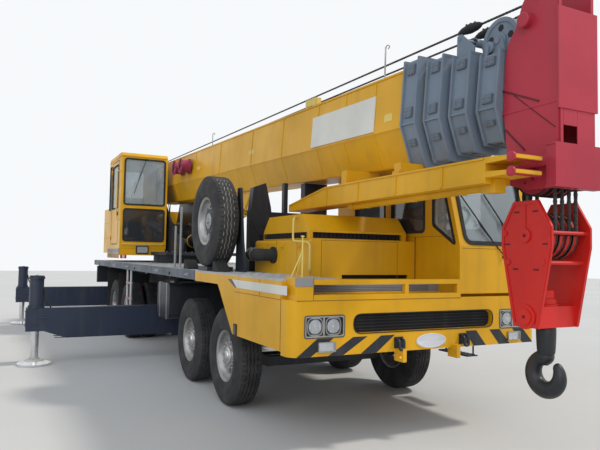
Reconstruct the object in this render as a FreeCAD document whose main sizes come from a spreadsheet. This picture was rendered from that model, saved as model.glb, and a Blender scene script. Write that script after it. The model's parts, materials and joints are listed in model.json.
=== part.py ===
"""Four-axle truck crane with a five-section telescopic boom, in millimetres.

The frame: +X is the driving direction, +Y is the driver's left, +Z is up. The origin is on the ground,
midway between the boom head's front and the tail of the frame, on the centre line.
Places along the machine are given as a distance behind the bumper's face, in names that end in _back.
"""
import FreeCAD, Part
import math
import os
import Sketcher

Vector = FreeCAD.Vector
Rotation = FreeCAD.Rotation
Placement = FreeCAD.Placement

SIZES = [
    # name, value in millimetres or degrees
    ("head_reach", 1620), ("rear_overhang", 2100), ("half_width", 1410), ("seat_gap", 0.3), ("free_gap", 6),
    # frame and deck
    ("rail_outer", 430), ("rail_inner", 340), ("rail_low", 870), ("rail_high", 1330), ("rail_start_back", 180),
    ("cross_member_width", 120), ("bracket_width", 80), ("deck_top", 1480), ("deck_plate", 20),
    ("deck_start_back", 180), ("deck_edge_width", 60), ("deck_edge_height", 120), ("black_edge_back", 2660),
    ("deck_end_less", 250), ("slew_back", 7850), ("slew_ring_radius", 700), ("slew_ring_bore", 560),
    ("slew_ring_top", 1640), ("pedestal_half", 720), ("tank_back", 4150), ("tank_length", 720),
    ("tank_low", 720), ("tank_high", 1240), ("tank_inset", 80), ("tank_round", 90),
    # outriggers
    ("front_outrigger_back", 5280), ("rear_outrigger_less", 450), ("beam_pitch", 260), ("beam_width", 210),
    ("beam_low", 390), ("beam_high", 840), ("beam_root", 745), ("housing_half", 1025), ("housing_wall", 22),
    ("jack_reach", 3030), ("jack_radius", 100), ("jack_low", 500), ("jack_high", 1300), ("jack_box_half", 135),
    ("jack_rod_radius", 55), ("jack_rod_top", 780), ("jack_bore_top", 1262), ("float_radius", 235),
    ("float_plate", 30), ("pin_play", 0.05), ("pad_gap", 0.5),
    # wheels and axles
    ("wheel_radius", 540), ("tyre_half", 147), ("rim_half", 115), ("rim_flange_radius", 288),
    ("rim_seat_radius", 258), ("rim_wall", 12), ("flange_wall", 14), ("wheel_plane", 1130), ("twin_plane", 800),
    ("axle_1_back", 2000), ("axle_2_back", 3400), ("axle_3_back", 7750), ("bogie_spread", 1350),
    ("kingpin_reach", 950), ("kingpin_radius", 25), ("kingpin_boss", 60), ("kingpin_half", 60),
    ("spindle_radius", 45), ("spindle_tip", 1190), ("stub_radius", 70), ("stub_tip", 1100), ("hub_radius", 110),
    ("axle_tube_radius", 90), ("axle_bulb_radius", 210), ("axle_tube_end", 640), ("spring_line", 385),
    ("spring_half", 40),
    # front end
    ("bumper_low", 840), ("bumper_high", 1310), ("bumper_depth", 180), ("bumper_round", 110),
    ("slot_low", 1018), ("slot_high", 1179), ("slot_half", 800), ("slot_depth", 60), ("lamp_line", 1087),
    ("lamp_pocket_inner", 907), ("lamp_pocket_outer", 1267), ("lamp_pocket_half", 80), ("lamp_radius", 62),
    ("lamp_pocket_depth", 40), ("skirt_low", 870), ("skirt_wall", 40), ("skirt_rear_back", 1340),
    ("arch_back", 1820), ("arch_high", 1353), ("platform_high", 1340),
    ("rail_bar", 42), ("rail_inset", 210), ("rail_post", 260), ("corner_block_width", 170),
    ("corner_block_high", 1500), ("tail_lamp_depth", 40), ("tail_lamp_width", 250),
    ("tow_eye_side", 310), ("tow_eye_hole", 25), ("tow_eye_plate", 40),
    # engine hood
    ("hood_front_back", 700), ("hood_rear_back", 2100), ("hood_right", 860), ("hood_high", 1845),
    ("hood_wall", 30), ("cover_left", 330), ("cover_high", 2100), ("cover_chamfer", 150), ("cover_front_back", 780),
    ("cover_rear_back", 1900), ("engine_front_back", 900), ("engine_rear_back", 2000),
    ("engine_low", 900), ("engine_high", 1750), ("duct_radius", 66), ("duct_line", 1680),
    # carrier cab
    ("cab_inner", 400), ("cab_wall", 60), ("cab_high", 2800), ("cab_rear_back", 2330), ("cab_sill", 1800),
    ("cab_front_back", 20), ("seat_half", 240), ("dash_play", 25),
    ("screen_top_back", 270), ("screen_top", 2700), ("door_front_back", 640), ("door_rear_back", 1500),
    ("door_low", 1420), ("door_high", 2680), ("door_play", 6), ("hinge_radius", 11), ("hinge_pin", 6),
    ("hinge_leaf", 8), ("hinge_play", 0.75), ("hinge_high", 45), ("hinge_reach", 12),
    # spare wheel and boom rest
    ("spare_back", 2450), ("spare_inset", 155), ("spare_seat", 50), ("rest_back", 2210), ("rest_depth", 110),
    ("rest_right", 890), ("rest_post_width", 290), ("rest_post_top", 2550),
    ("rest_beam_low", 2100), ("rest_beam_high", 2200),
    # turntable
    ("table_low", 1640.3), ("table_plate", 60), ("cheek_inner", 345), ("cheek_wall", 45), ("foot_back", 9350),
    ("foot_high", 3150), ("foot_pin_radius", 70), ("luff_base_back", 7750), ("luff_base_high", 1880),
    ("weight_front_back", 10150), ("weight_rear_back", 11050), ("weight_half", 1250), ("weight_low", 1660),
    ("weight_high", 2700), ("winch_1_back", 8720), ("winch_1_high", 2100), ("winch_2_back", 9700),
    ("winch_2_high", 2150), ("drum_radius", 180), ("drum_flange", 270), ("drum_half", 290), ("winch_shaft", 50),
    # operator's cab
    ("op_front_back", 7950), ("op_rear_back", 9380), ("op_inner", 450), ("op_outer", 1390), ("op_low", 1760),
    ("op_high", 3720), ("op_wall", 50), ("op_door_front_back", 8200), ("op_door_rear_back", 9010),
    ("op_door_low", 1840), ("op_door_high", 3600),
    # boom, in its own frame: from the foot pin, along the boom and up from it
    ("boom_droop", 1.85), ("boom_front", 9400), ("boom_tail", 260), ("boom_wall", 10), ("boom_half", 320),
    ("boom_half_step", 42), ("boom_top", 553), ("boom_bottom", -327), ("boom_height_step", 44),
    ("boom_ridge", 19), ("boom_floor_half", 190), ("boom_floor_step", 25), ("boom_roof_less", 30),
    ("collar_length", 215), ("collar_pitch", 275), ("collar_proud", 32), ("section_root", 420),
    ("section_root_step", 200), ("pulley_radius", 185), ("pulley_half", 28), ("luff_eye_along", 5000),
    ("luff_eye_below", 500), ("eye_radius", 100), ("barrel_radius", 130), ("barrel_bore", 95),
    ("barrel_start", 250), ("barrel_length", 3200), ("rod_radius", 80), ("luff_pin_radius", 45),
    # boom head and hook block
    ("head_inner", 150), ("head_plate", 28), ("sheave_back_of_head", 290), ("sheave_high", 2300),
    ("sheave_radius", 160), ("sheave_half", 24), ("sheave_pitch", 70), ("rope_radius", 10), ("cheek_half", 205),
    ("cheek_plate", 20), ("block_pin_high", 1850), ("block_top", 2100), ("block_low", 1200), ("block_half", 225),
    ("shank_radius", 45), ("shank_top", 1300), ("hook_eye_high", 860), ("hook_ring", 115), ("hook_bar", 48),
    # stowed jib
    ("jib_inner", 300), ("jib_outer", 540), ("jib_pad_inset", 60), ("rear_pad_drop", 458), ("front_pad_drop", 408),
    ("jib_tube_radius", 38),

]


class Length:
    """A number together with the formula that ties it to the sheet."""

    def __init__(self, value, formula):
        self.value = value
        self.formula = formula

    def __add__(self, other):
        return Length(self.value + number(other), f"({self.formula} + {formula(other)})")

    def __radd__(self, other):
        return self + other

    def __sub__(self, other):
        return Length(self.value - number(other), f"({self.formula} - {formula(other)})")

    def __rsub__(self, other):
        return Length(number(other) - self.value, f"({formula(other)} - {self.formula})")

    def __mul__(self, other):
        return Length(self.value * number(other), f"({self.formula} * {formula(other)})")

    def __rmul__(self, other):
        return self * other

    def __truediv__(self, other):
        return Length(self.value / number(other), f"({self.formula} / {formula(other)})")

    def __neg__(self):
        return Length(-self.value, f"(0 - {self.formula})")


def number(length):
    return length.value if isinstance(length, Length) else float(length)


def formula(length):
    return length.formula if isinstance(length, Length) else f"({float(length)})"


doc = FreeCAD.newDocument("truck_crane")
sheet = doc.addObject("Spreadsheet::Sheet", "sizes")


class Sizes:
    """The sheet's values by name."""


d = Sizes()
for row, (name, value) in enumerate(SIZES, start=1):
    sheet.set(f"A{row}", name)
    sheet.set(f"B{row}", str(value))
    sheet.setAlias(f"B{row}", name)
    setattr(d, name, Length(float(value), f"sizes.{name}"))
doc.recompute()

d.axle_4_back = d.axle_3_back + d.bogie_spread
d.tail_reach = d.axle_4_back + d.rear_overhang
d.rear_outrigger_back = d.tail_reach - d.rear_outrigger_less
d.deck_end_back = d.tail_reach - d.deck_end_less
d.tank_outer = d.half_width - d.tank_inset
d.rail_right = d.half_width - d.rail_inset
d.rail_left = d.cab_inner - d.free_gap
d.spare_side = d.half_width - d.spare_inset
bumper_x = (d.tail_reach - d.head_reach) / 2

# The flat sides that stand for a circle on large round pieces, and on small ones.
TYRE_SIDES = 28
WHEEL_SIDES = 20
PIN_SIDES = 16
SMALL_SIDES = 12
HALF_STEP = 180 / PIN_SIDES


def x_at(back):
    """The X of a place given as a distance behind the bumper's face."""
    return bumper_x - back


def bind(item, prop, length):
    """Set a property and tie it to the sheet."""
    if isinstance(length, Length):
        item.setExpression(prop, length.formula)


def place(item, x, y, z, rotation=None):
    item.Placement = Placement(Vector(number(x), number(y), number(z)), rotation or Rotation())
    for axis, length in (("x", x), ("y", y), ("z", z)):
        bind(item, f".Placement.Base.{axis}", length)
    return item


def box(name, x, y, z):
    """A block between low and high values along each axis."""
    item = doc.addObject("Part::Box", name)
    for prop, (low, high) in (("Length", x), ("Width", y), ("Height", z)):
        setattr(item, prop, number(high) - number(low))
        bind(item, prop, high - low if isinstance(high, Length) or isinstance(low, Length) else high)
    return place(item, x[0], y[0], z[0])


TURNS = {
    "X": Rotation(Vector(0, 1, 0), 90),
    "Y": Rotation(Vector(1, 0, 0), -90),
    "Z": Rotation(),
}


def around(radius, sides):
    """The corner radius of a flat-sided bore that clears a round bar."""
    return radius / math.cos(math.pi / sides)


def rod(name, axis, centre, radius, low, high, sides=0, turn=0):
    """A bar along an axis, through centre (the two other coordinates, in X, Y, Z order); round if sides is 0."""
    item = doc.addObject("Part::Prism" if sides else "Part::Cylinder", name)
    prop = "Circumradius" if sides else "Radius"
    if sides:
        item.Polygon = sides
    setattr(item, prop, number(radius))
    item.Height = number(high) - number(low)
    bind(item, prop, radius)
    bind(item, "Height", high - low if isinstance(high, Length) or isinstance(low, Length) else high)
    spot = list(centre)
    spot.insert("XYZ".index(axis), low)
    return place(item, *spot, TURNS[axis] * Rotation(Vector(0, 0, 1), turn))


PLANES = {"XY": "XY_Plane", "XZ": "XZ_Plane", "YZ": "YZ_Plane"}


def sketch_on(body, plane, offset, loops, circles=()):
    """A sketch of closed straight outlines and circles, every point tied to the sheet."""
    sketch = body.newObject("Sketcher::SketchObject", body.Name + "_outline")
    origin = [item for item in body.Origin.OriginFeatures if item.Role == PLANES[plane]][0]
    sketch.AttachmentSupport = [(origin, "")]
    sketch.MapMode = "FlatFace"
    sketch.AttachmentOffset = Placement(Vector(0, 0, number(offset)), Rotation())
    bind(sketch, ".AttachmentOffset.Base.z", offset)
    for loop in loops:
        first = sketch.GeometryCount
        spots = [Vector(number(u), number(v), 0) for u, v in loop]
        edges = [Part.LineSegment(spots[i], spots[(i + 1) % len(spots)]) for i in range(len(spots))]
        sketch.addGeometry(edges, False)
        links = []
        for i in range(len(loop)):
            after = first + (i + 1) % len(loop)
            links.append(Sketcher.Constraint("Coincident", first + i, 2, after, 1))
        sketch.addConstraint(links)
        for i, (u, v) in enumerate(loop):
            for kind, length in (("DistanceX", u), ("DistanceY", v)):
                index = sketch.addConstraint(Sketcher.Constraint(kind, -1, 1, first + i, 1, number(length)))
                bind(sketch, f"Constraints[{index}]", length)
    for u, v, radius in circles:
        index = sketch.addGeometry(Part.Circle(Vector(number(u), number(v), 0), Vector(0, 0, 1), number(radius)))
        for kind, length in (("DistanceX", u), ("DistanceY", v)):
            spot = sketch.addConstraint(Sketcher.Constraint(kind, -1, 1, index, 3, number(length)))
            bind(sketch, f"Constraints[{spot}]", length)
        spot = sketch.addConstraint(Sketcher.Constraint("Radius", index, number(radius)))
        bind(sketch, f"Constraints[{spot}]", radius)
    return sketch


def edges_at(shape, plane, spots):
    """The names of a pad's straight edges that stand on the given corners of its outline."""
    found = []
    for index, edge in enumerate(shape.Edges, start=1):
        first, last = edge.Vertexes[0].Point, edge.Vertexes[-1].Point
        for u, v in spots:
            keys = {"XY": ("x", "y"), "XZ": ("x", "z"), "YZ": ("y", "z")}[plane]
            near = all(
                abs(getattr(point, key) - number(value)) < 0.01
                for point in (first, last)
                for key, value in zip(keys, (u, v))
            )
            if near:
                found.append(f"Edge{index}")
    return found


def prism(name, plane, outline, low, high, cuts=(), circles=(), rounded=()):
    """An outline padded from low to high across its plane; rounded lists (radius, corner numbers)."""
    body = doc.addObject("PartDesign::Body", name)
    offset = -high if plane == "XZ" else low
    sketch = sketch_on(body, plane, offset, [outline, *cuts], circles)
    pad = body.newObject("PartDesign::Pad", name + "_pad")
    pad.Profile = sketch
    pad.Length = number(high) - number(low)
    bind(pad, "Length", high - low if isinstance(high, Length) or isinstance(low, Length) else high)
    base = pad
    for turn, (radius, corners) in enumerate(rounded):
        doc.recompute()
        names = edges_at(base.Shape, plane, [outline[corner] for corner in corners])
        fillet = body.newObject("PartDesign::Fillet", f"{name}_round_{turn}")
        fillet.Base = (base, names)
        fillet.Radius = number(radius)
        bind(fillet, "Radius", radius)
        base = fillet
    return body


def ring_points(radius, sides, centre, turn=0, axis=(0, 1, 0)):
    """The corners of a flat-sided ring about Z, turned about an axis and set at its centre."""
    rotation = Rotation(Vector(*axis), turn)
    points = []
    for index in range(sides):
        angle = 2 * math.pi * index / sides
        spot = Vector(number(radius) * math.cos(angle), number(radius) * math.sin(angle), 0)
        points.append(rotation.multVec(spot) + Vector(*[number(value) for value in centre]))
    return points


def skin(name, rings, closed=False):
    """A solid with flat faces through rings of corners, closed by two caps or by joining its ends."""
    sides = len(rings[0])
    outlines = [] if closed else [rings[0][::-1], rings[-1]]
    for low, high in zip(rings, rings[1:] + rings[:closed]):
        for index in range(sides):
            after = (index + 1) % sides
            quad = [low[index], low[after], high[after], high[index]]
            normal = (quad[1] - quad[0]).cross(quad[3] - quad[0]).normalize()
            if abs(normal.dot(quad[2] - quad[0])) < 1e-6:
                outlines.append(quad)
            else:
                outlines += [quad[:3], [quad[0], quad[2], quad[3]]]
    faces = [Part.Face(Part.makePolygon(outline + outline[:1])) for outline in outlines]
    item = doc.addObject("Part::Feature", name)
    item.Shape = Part.makeSolid(Part.makeShell(faces))
    return item


def flat_sided(name, stations, sides, closed=False):
    """A wheel-like form with flat sides about Z, through (along, radius) stations."""
    return skin(name, [ring_points(radius, sides, (0, 0, along)) for along, radius in stations], closed)


def copy_at(name, source, x, y, z, rotation=None):
    """The same form at another place."""
    return place(group(name, [source]), x, y, z, rotation)


def fuse(name, items):
    item = doc.addObject("Part::MultiFuse", name)
    item.Shapes = items
    item.Refine = True
    return item


def cut(name, base, tools):
    item = doc.addObject("Part::Cut", name)
    item.Base = base
    item.Tool = tools[0] if len(tools) == 1 else fuse(name + "_tools", tools)
    item.Refine = True
    return item


def group(name, items):
    """Solids of one piece that don't touch each other."""
    item = doc.addObject("Part::Compound", name)
    item.Links = items
    return item


def mirrored(name, source):
    item = doc.addObject("Part::Mirroring", name)
    item.Source = source
    item.Normal = Vector(0, 1, 0)
    return item


def both_sides(name, source):
    return [source, mirrored(name, source)]


NODES = []


def node(name, item):
    """Hand a finished piece over under the name of its file."""
    item.Label = name
    NODES.append(item)
    return item


AXLES = (
    # number, distance behind the bumper, twin wheels
    (1, d.axle_1_back, False),
    (2, d.axle_2_back, False),
    (3, d.axle_3_back, True),
    (4, d.axle_4_back, True),
)
SIDES = (("r", -1, "-Y"), ("l", 1, "Y"))


def chassis_frame():
    tail = x_at(d.tail_reach)
    rail = box("rail", (tail + d.tail_lamp_depth, x_at(d.rail_start_back)), (d.rail_inner, d.rail_outer),
               (d.rail_low, d.rail_high))
    parts = both_sides("rail_other", rail)
    cross_places = (d.rail_start_back + 140, d.axle_1_back + 700, d.front_outrigger_back - 680,
                    d.axle_3_back - 1250, d.tail_reach - 1250)
    for index, back in enumerate(cross_places):
        middle = x_at(back)
        parts.append(box(f"cross_{index}", (middle - d.cross_member_width / 2, middle + d.cross_member_width / 2),
                         (-d.rail_inner, d.rail_inner), (d.rail_low + 80, d.rail_high - 80)))
    side = d.half_width - d.deck_edge_width
    parts.append(box("tail_beam", (tail + d.tail_lamp_depth, tail + d.tail_lamp_depth + 90), (-side, side),
                     (d.rail_low + 60, d.rail_high)))
    low = d.rail_high
    high = d.deck_top - d.deck_plate
    bracket_places = (d.black_edge_back + 100, d.tank_back - 50, d.front_outrigger_back + 320,
                      d.axle_3_back - 1150, d.axle_4_back + 200, d.tail_reach - 350)
    for index, back in enumerate(bracket_places):
        middle = x_at(back)
        parts.append(box(f"bracket_{index}", (middle - d.bracket_width / 2, middle + d.bracket_width / 2),
                         (-side, side), (low, high)))
    slew = x_at(d.slew_back)
    half = d.pedestal_half
    parts.append(box("pedestal", (slew - half, slew + half), (-half, half), (low - 40, high - 60)))
    ring = rod("slew_ring", "Z", (slew, 0), d.slew_ring_radius, high - 60, d.slew_ring_top, TYRE_SIDES)
    parts.append(cut("slew_ring_open", ring,
                     [rod("slew_ring_hole", "Z", (slew, 0), d.slew_ring_bore, high - 60, d.slew_ring_top + 5,
                          TYRE_SIDES)]))
    back = x_at(d.tank_back)
    tank = prism("tank", "XZ",
                 [(back - d.tank_length, d.tank_low), (back, d.tank_low), (back, d.tank_high),
                  (back - d.tank_length, d.tank_high)],
                 -d.tank_outer, -d.rail_outer, rounded=[(d.tank_round, (0, 1, 2, 3))])
    parts.append(tank)
    parts.append(mirrored("tank_left", tank))
    return node("chassis_frame", fuse("frame_all", parts))


OUTRIGGERS = (
    # end, right beam's place behind the bumper, side on which the left beam lies
    ("f", d.front_outrigger_back, 1),
    ("r", d.rear_outrigger_back, -1),
)


def outrigger_boxes():
    boxes = []
    for end, back, step in OUTRIGGERS:
        right = x_at(back)
        left = right - step * d.beam_pitch
        half = d.beam_width / 2
        low_x, high_x = (left, right) if step > 0 else (right, left)
        shell = box(f"housing_{end}", (low_x - half - d.free_gap - d.housing_wall,
                                       high_x + half + d.free_gap + d.housing_wall),
                    (-d.housing_half, d.housing_half), (d.beam_low - d.pad_gap - d.housing_wall, d.rail_low))
        cells = []
        for side, middle in (("r", right), ("l", left)):
            cells.append(box(f"cell_{end}{side}", (middle - half - d.free_gap, middle + half + d.free_gap),
                             (-d.housing_half - 5, d.housing_half + 5),
                             (d.beam_low - d.pad_gap, d.beam_high + d.free_gap)))
        boxes.append(cut(f"housing_{end}_open", shell, cells))
    return node("outrigger_boxes", group("boxes_all", boxes))


def outrigger(end, side, sign, back, step):
    """One beam with its jack tube, and the jack's rod with its float."""
    key = f"{end}{side}"
    middle = x_at(back) if side == "r" else x_at(back) - step * d.beam_pitch
    half = d.beam_width / 2
    reach = d.jack_reach
    tip = reach + d.jack_box_half
    outline = [
        (sign * d.beam_root, d.beam_low), (sign * (reach - 420), d.beam_low), (sign * (reach - 110), d.jack_low),
        (sign * tip, d.jack_low), (sign * tip, d.beam_high), (sign * d.beam_root, d.beam_high),
    ]
    arm = prism(f"arm_{key}", "YZ", outline, middle - half, middle + half)
    spot = (middle, sign * reach)
    tube = rod(f"jack_tube_{key}", "Z", spot, d.jack_radius, d.jack_low, d.jack_high, WHEEL_SIDES)
    bore = rod(f"jack_bore_{key}", "Z", spot, d.jack_rod_radius + d.pin_play, d.jack_low - 5, d.jack_bore_top,
               PIN_SIDES)
    node(f"outrigger_beam_{key}", cut(f"beam_{key}", fuse(f"beam_solid_{key}", [arm, tube]), [bore]))
    plate = d.float_plate
    foot = flat_sided(f"float_{key}", [(0, d.float_radius), (plate, d.float_radius),
                                       (plate + 60, d.jack_rod_radius + 15)], WHEEL_SIDES)
    shaft = rod(f"jack_shaft_{key}", "Z", (0, 0), d.jack_rod_radius, plate, d.jack_rod_top, PIN_SIDES)
    whole = fuse(f"jack_{key}", [foot, shaft])
    node(f"jack_rod_{key}", copy_at(f"jack_placed_{key}", whole, middle, sign * reach, 0))


OUTWARD = {
    "r": Rotation(Vector(1, 0, 0), 90),
    "l": Rotation(Vector(1, 0, 0), -90),
}


def tyre_form():
    """A tyre about Z, shared by all the wheels."""
    half = d.tyre_half
    radius = d.wheel_radius
    bead = d.rim_half - d.flange_wall - 0.5
    seat = d.rim_seat_radius + 0.5
    return flat_sided("tyre_form", [
        (-bead, seat), (-half, radius - 150), (-half + 34, radius - 8), (-half + 80, radius),
        (half - 80, radius), (half - 34, radius - 8), (half, radius - 150), (bead, seat)], TYRE_SIDES, closed=True)


def rim_barrel(key, low, high):
    """The outside of a rim from its inner to its outer flange."""
    wall = d.flange_wall
    return flat_sided(f"rim_barrel_{key}", [
        (low, d.rim_flange_radius), (low + wall, d.rim_seat_radius), (high - wall, d.rim_seat_radius),
        (high, d.rim_flange_radius)], TYRE_SIDES)


def rim_dish(key, mouth, floor, floor_radius):
    """A hollow of a rim, from its open end down to the disc."""
    inner = d.rim_seat_radius - d.rim_wall
    return flat_sided(f"rim_dish_{key}", [(mouth, inner), (floor, floor_radius)], WHEEL_SIDES)


def front_rim_form(key, open_centre):
    """A rim with a disc that stands out towards its front, with its hub or with an open centre."""
    half = d.rim_half
    disc_back, disc_front = 18, 36
    tools = [rim_dish(f"front_{key}", half + 2, disc_front, 205), rim_dish(f"back_{key}", -half - 2, disc_back, 205)]
    body = cut(f"rim_shell_{key}", rim_barrel(key, -half, half), tools)
    if open_centre:
        hole = rod(f"rim_centre_{key}", "Z", (0, 0), 105, disc_back - 5, disc_front + 5, WHEEL_SIDES)
        return cut(f"rim_form_{key}", body, [hole])
    hub = flat_sided(f"hub_{key}", [(-88, d.hub_radius), (95, d.hub_radius), (112, d.hub_radius - 30)], PIN_SIDES)
    bore = rod(f"hub_bore_{key}", "Z", (0, 0), around(d.spindle_radius + d.pin_play, PIN_SIDES), -95,
               d.spindle_tip - d.wheel_plane + 2, PIN_SIDES, HALF_STEP)
    return cut(f"rim_form_{key}", fuse(f"rim_hub_{key}", [body, hub]), [bore])


def twin_rim_form():
    """Two rims back to back on one hub; places are measured from the centre line."""
    half = d.rim_half
    near, far = d.twin_plane, d.wheel_plane
    middle = (near + far) / 2
    tools = [rim_dish("twin_front", far + half + 2, middle + 18, 190),
             rim_dish("twin_back", near - half - 2, middle - 18, 190)]
    body = cut("twin_shell", rim_barrel("twin", near - half, far + half), tools)
    tip = d.stub_tip
    hub = flat_sided("twin_hub", [(near - 80, 120), (tip + 10, 120), (tip + 28, 95)], PIN_SIDES)
    bore = rod("twin_bore", "Z", (0, 0), around(d.stub_radius + d.pin_play, PIN_SIDES), near - 90, tip + 2,
               PIN_SIDES, HALF_STEP)
    return cut("twin_form", fuse("twin_rim_hub", [body, hub]), [bore])


def wheels():
    rubber = tyre_form()
    front = front_rim_form("front", False)
    twin_form = twin_rim_form()
    z = d.wheel_radius
    for axle, back, twin in AXLES:
        for side, sign, _ in SIDES:
            x = x_at(back)
            key = f"{axle}{side}"
            out = OUTWARD[side]
            outer = copy_at(f"outer_tyre_{key}", rubber, x, sign * d.wheel_plane, z, out)
            if twin:
                inner = copy_at(f"inner_tyre_{key}", rubber, x, sign * d.twin_plane, z, out)
                node(f"tyre_{key}", group(f"tyres_{key}", [outer, inner]))
                node(f"rim_{key}", copy_at(f"twin_rim_{key}", twin_form, x, 0, z, out))
            else:
                node(f"tyre_{key}", outer)
                node(f"rim_{key}", copy_at(f"front_rim_{key}", front, x, sign * d.wheel_plane, z, out))
    x = x_at(d.spare_back)
    z = d.deck_top + d.spare_seat + d.wheel_radius
    node("spare_tyre", copy_at("spare_tyre_placed", rubber, x, -d.spare_side, z, OUTWARD["r"]))
    spare = front_rim_form("spare", True)
    node("spare_rim", copy_at("spare_rim_placed", spare, x, -d.spare_side, z, OUTWARD["r"]))


def steered_axle(axle, back):
    """A dropped beam with a boss for each kingpin, and its leaf springs and hangers."""
    x = x_at(back)
    z = d.wheel_radius
    end = d.kingpin_reach
    half = d.kingpin_half
    near = d.kingpin_boss + 10
    outline = [
        (-end, z - half), (-end + near, z - half), (-end + near + 130, z - 145), (end - near - 130, z - 145),
        (end - near, z - half), (end, z - half), (end, z + half), (end - 50, z + half), (end - 210, z - 35),
        (-end + 210, z - 35), (-end + 50, z + half), (-end, z + half),
    ]
    parts = [prism(f"axle_beam_{axle}", "YZ", outline, x - 45, x + 45)]
    holes = []
    for side, sign, _ in SIDES:
        spot = (x, sign * end)
        parts.append(rod(f"kingpin_boss_{axle}{side}", "Z", spot, d.kingpin_boss, z - half, z + half, SMALL_SIDES))
        holes.append(rod(f"kingpin_hole_{axle}{side}", "Z", spot, d.kingpin_radius + d.pin_play,
                         z - half - 5, z + half + 5))
    low = d.spring_line - d.spring_half
    high = d.spring_line + d.spring_half
    leaf = [
        (x - 560, z + 210), (x - 250, z + 80), (x + 250, z + 80), (x + 560, z + 210), (x + 560, z + 250),
        (x + 240, z + 150), (x - 240, z + 150), (x - 560, z + 250),
    ]
    spring = fuse(f"spring_{axle}", [
        prism(f"leaf_{axle}", "XZ", leaf, low, high),
        box(f"spring_seat_{axle}", (x - 60, x + 60), (low, high), (z - 40, z + 82)),
        box(f"hanger_front_{axle}", (x + 530, x + 590), (low, high), (z + 200, d.rail_low)),
        box(f"hanger_rear_{axle}", (x - 590, x - 530), (low, high), (z + 200, d.rail_low)),
    ])
    parts += both_sides(f"spring_other_{axle}", spring)
    return cut(f"steered_axle_{axle}", fuse(f"steered_axle_solid_{axle}", parts), holes)


def driven_axle(axle, back):
    """A banjo housing with a stub for the hub at each end."""
    tube = d.axle_tube_radius
    bulb = d.axle_bulb_radius
    end = d.axle_tube_end
    stub = d.stub_radius
    tip = d.stub_tip
    housing = flat_sided(f"banjo_{axle}", [(-end, tube), (-bulb - 60, tube), (-120, bulb), (120, bulb),
                                           (bulb + 60, tube), (end, tube)], PIN_SIDES)
    shaft = rod(f"stub_{axle}", "Z", (0, 0), stub, -tip, tip, PIN_SIDES)
    return copy_at(f"driven_axle_{axle}", fuse(f"driven_axle_form_{axle}", [housing, shaft]), x_at(back), 0,
                   d.wheel_radius, TURNS["Y"])


def axles():
    parts = [steered_axle(1, d.axle_1_back), steered_axle(2, d.axle_2_back)]
    rear = x_at(d.axle_4_back)
    front = x_at(d.axle_3_back)
    middle = (front + rear) / 2
    z = d.wheel_radius
    low = d.spring_line - d.spring_half
    high = d.spring_line + d.spring_half
    leaf = [
        (rear - 70, z + 60), (rear + 70, z + 60), (middle, z + 190), (front - 70, z + 60), (front + 70, z + 60),
        (front + 70, z + 130), (middle, z + 290), (rear - 70, z + 130),
    ]
    bogie = fuse("bogie_spring", [
        prism("bogie_leaf", "XZ", leaf, low, high),
        box("bogie_seat", (middle - 130, middle + 130), (low, high), (z + 200, d.rail_low)),
    ])
    pieces = [driven_axle(3, d.axle_3_back), driven_axle(4, d.axle_4_back)]
    parts.append(fuse("bogie", pieces + both_sides("bogie_spring_other", bogie)))
    return node("axles", group("axles_all", parts))


def knuckle(axle, back, side, sign):
    x = x_at(back)
    z = d.wheel_radius
    reach = d.kingpin_reach
    half = d.kingpin_half + d.seat_gap
    ear = 50
    radius = d.kingpin_boss
    key = f"{axle}{side}"

    def span(near, far):
        return (sign * near, sign * far) if sign > 0 else (sign * far, sign * near)

    low, high = z - half - ear, z + half + ear
    web = reach + radius + 5
    outline = [(sign * (reach - 20), low), (sign * (web + 25), low), (sign * (web + 25), high),
               (sign * (reach - 20), high), (sign * (reach - 20), z + half), (sign * web, z + half),
               (sign * web, z - half), (sign * (reach - 20), z - half)]
    fork = prism(f"fork_{key}", "YZ", outline, x - radius, x + radius)
    ends = [rod(f"ear_{key}_{index}", "Z", (x, sign * reach), radius, start, start + ear, SMALL_SIDES)
            for index, start in enumerate((low, high - ear))]
    pin = rod(f"kingpin_{key}", "Z", (x, sign * reach), d.kingpin_radius, low, high, SMALL_SIDES)
    spindle = rod(f"spindle_{key}", "Y", (x, z), d.spindle_radius, *span(web + 15, d.spindle_tip), PIN_SIDES)
    node(f"knuckle_{key}", fuse(f"knuckle_all_{key}", [fork, *ends, pin, spindle]))


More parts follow.
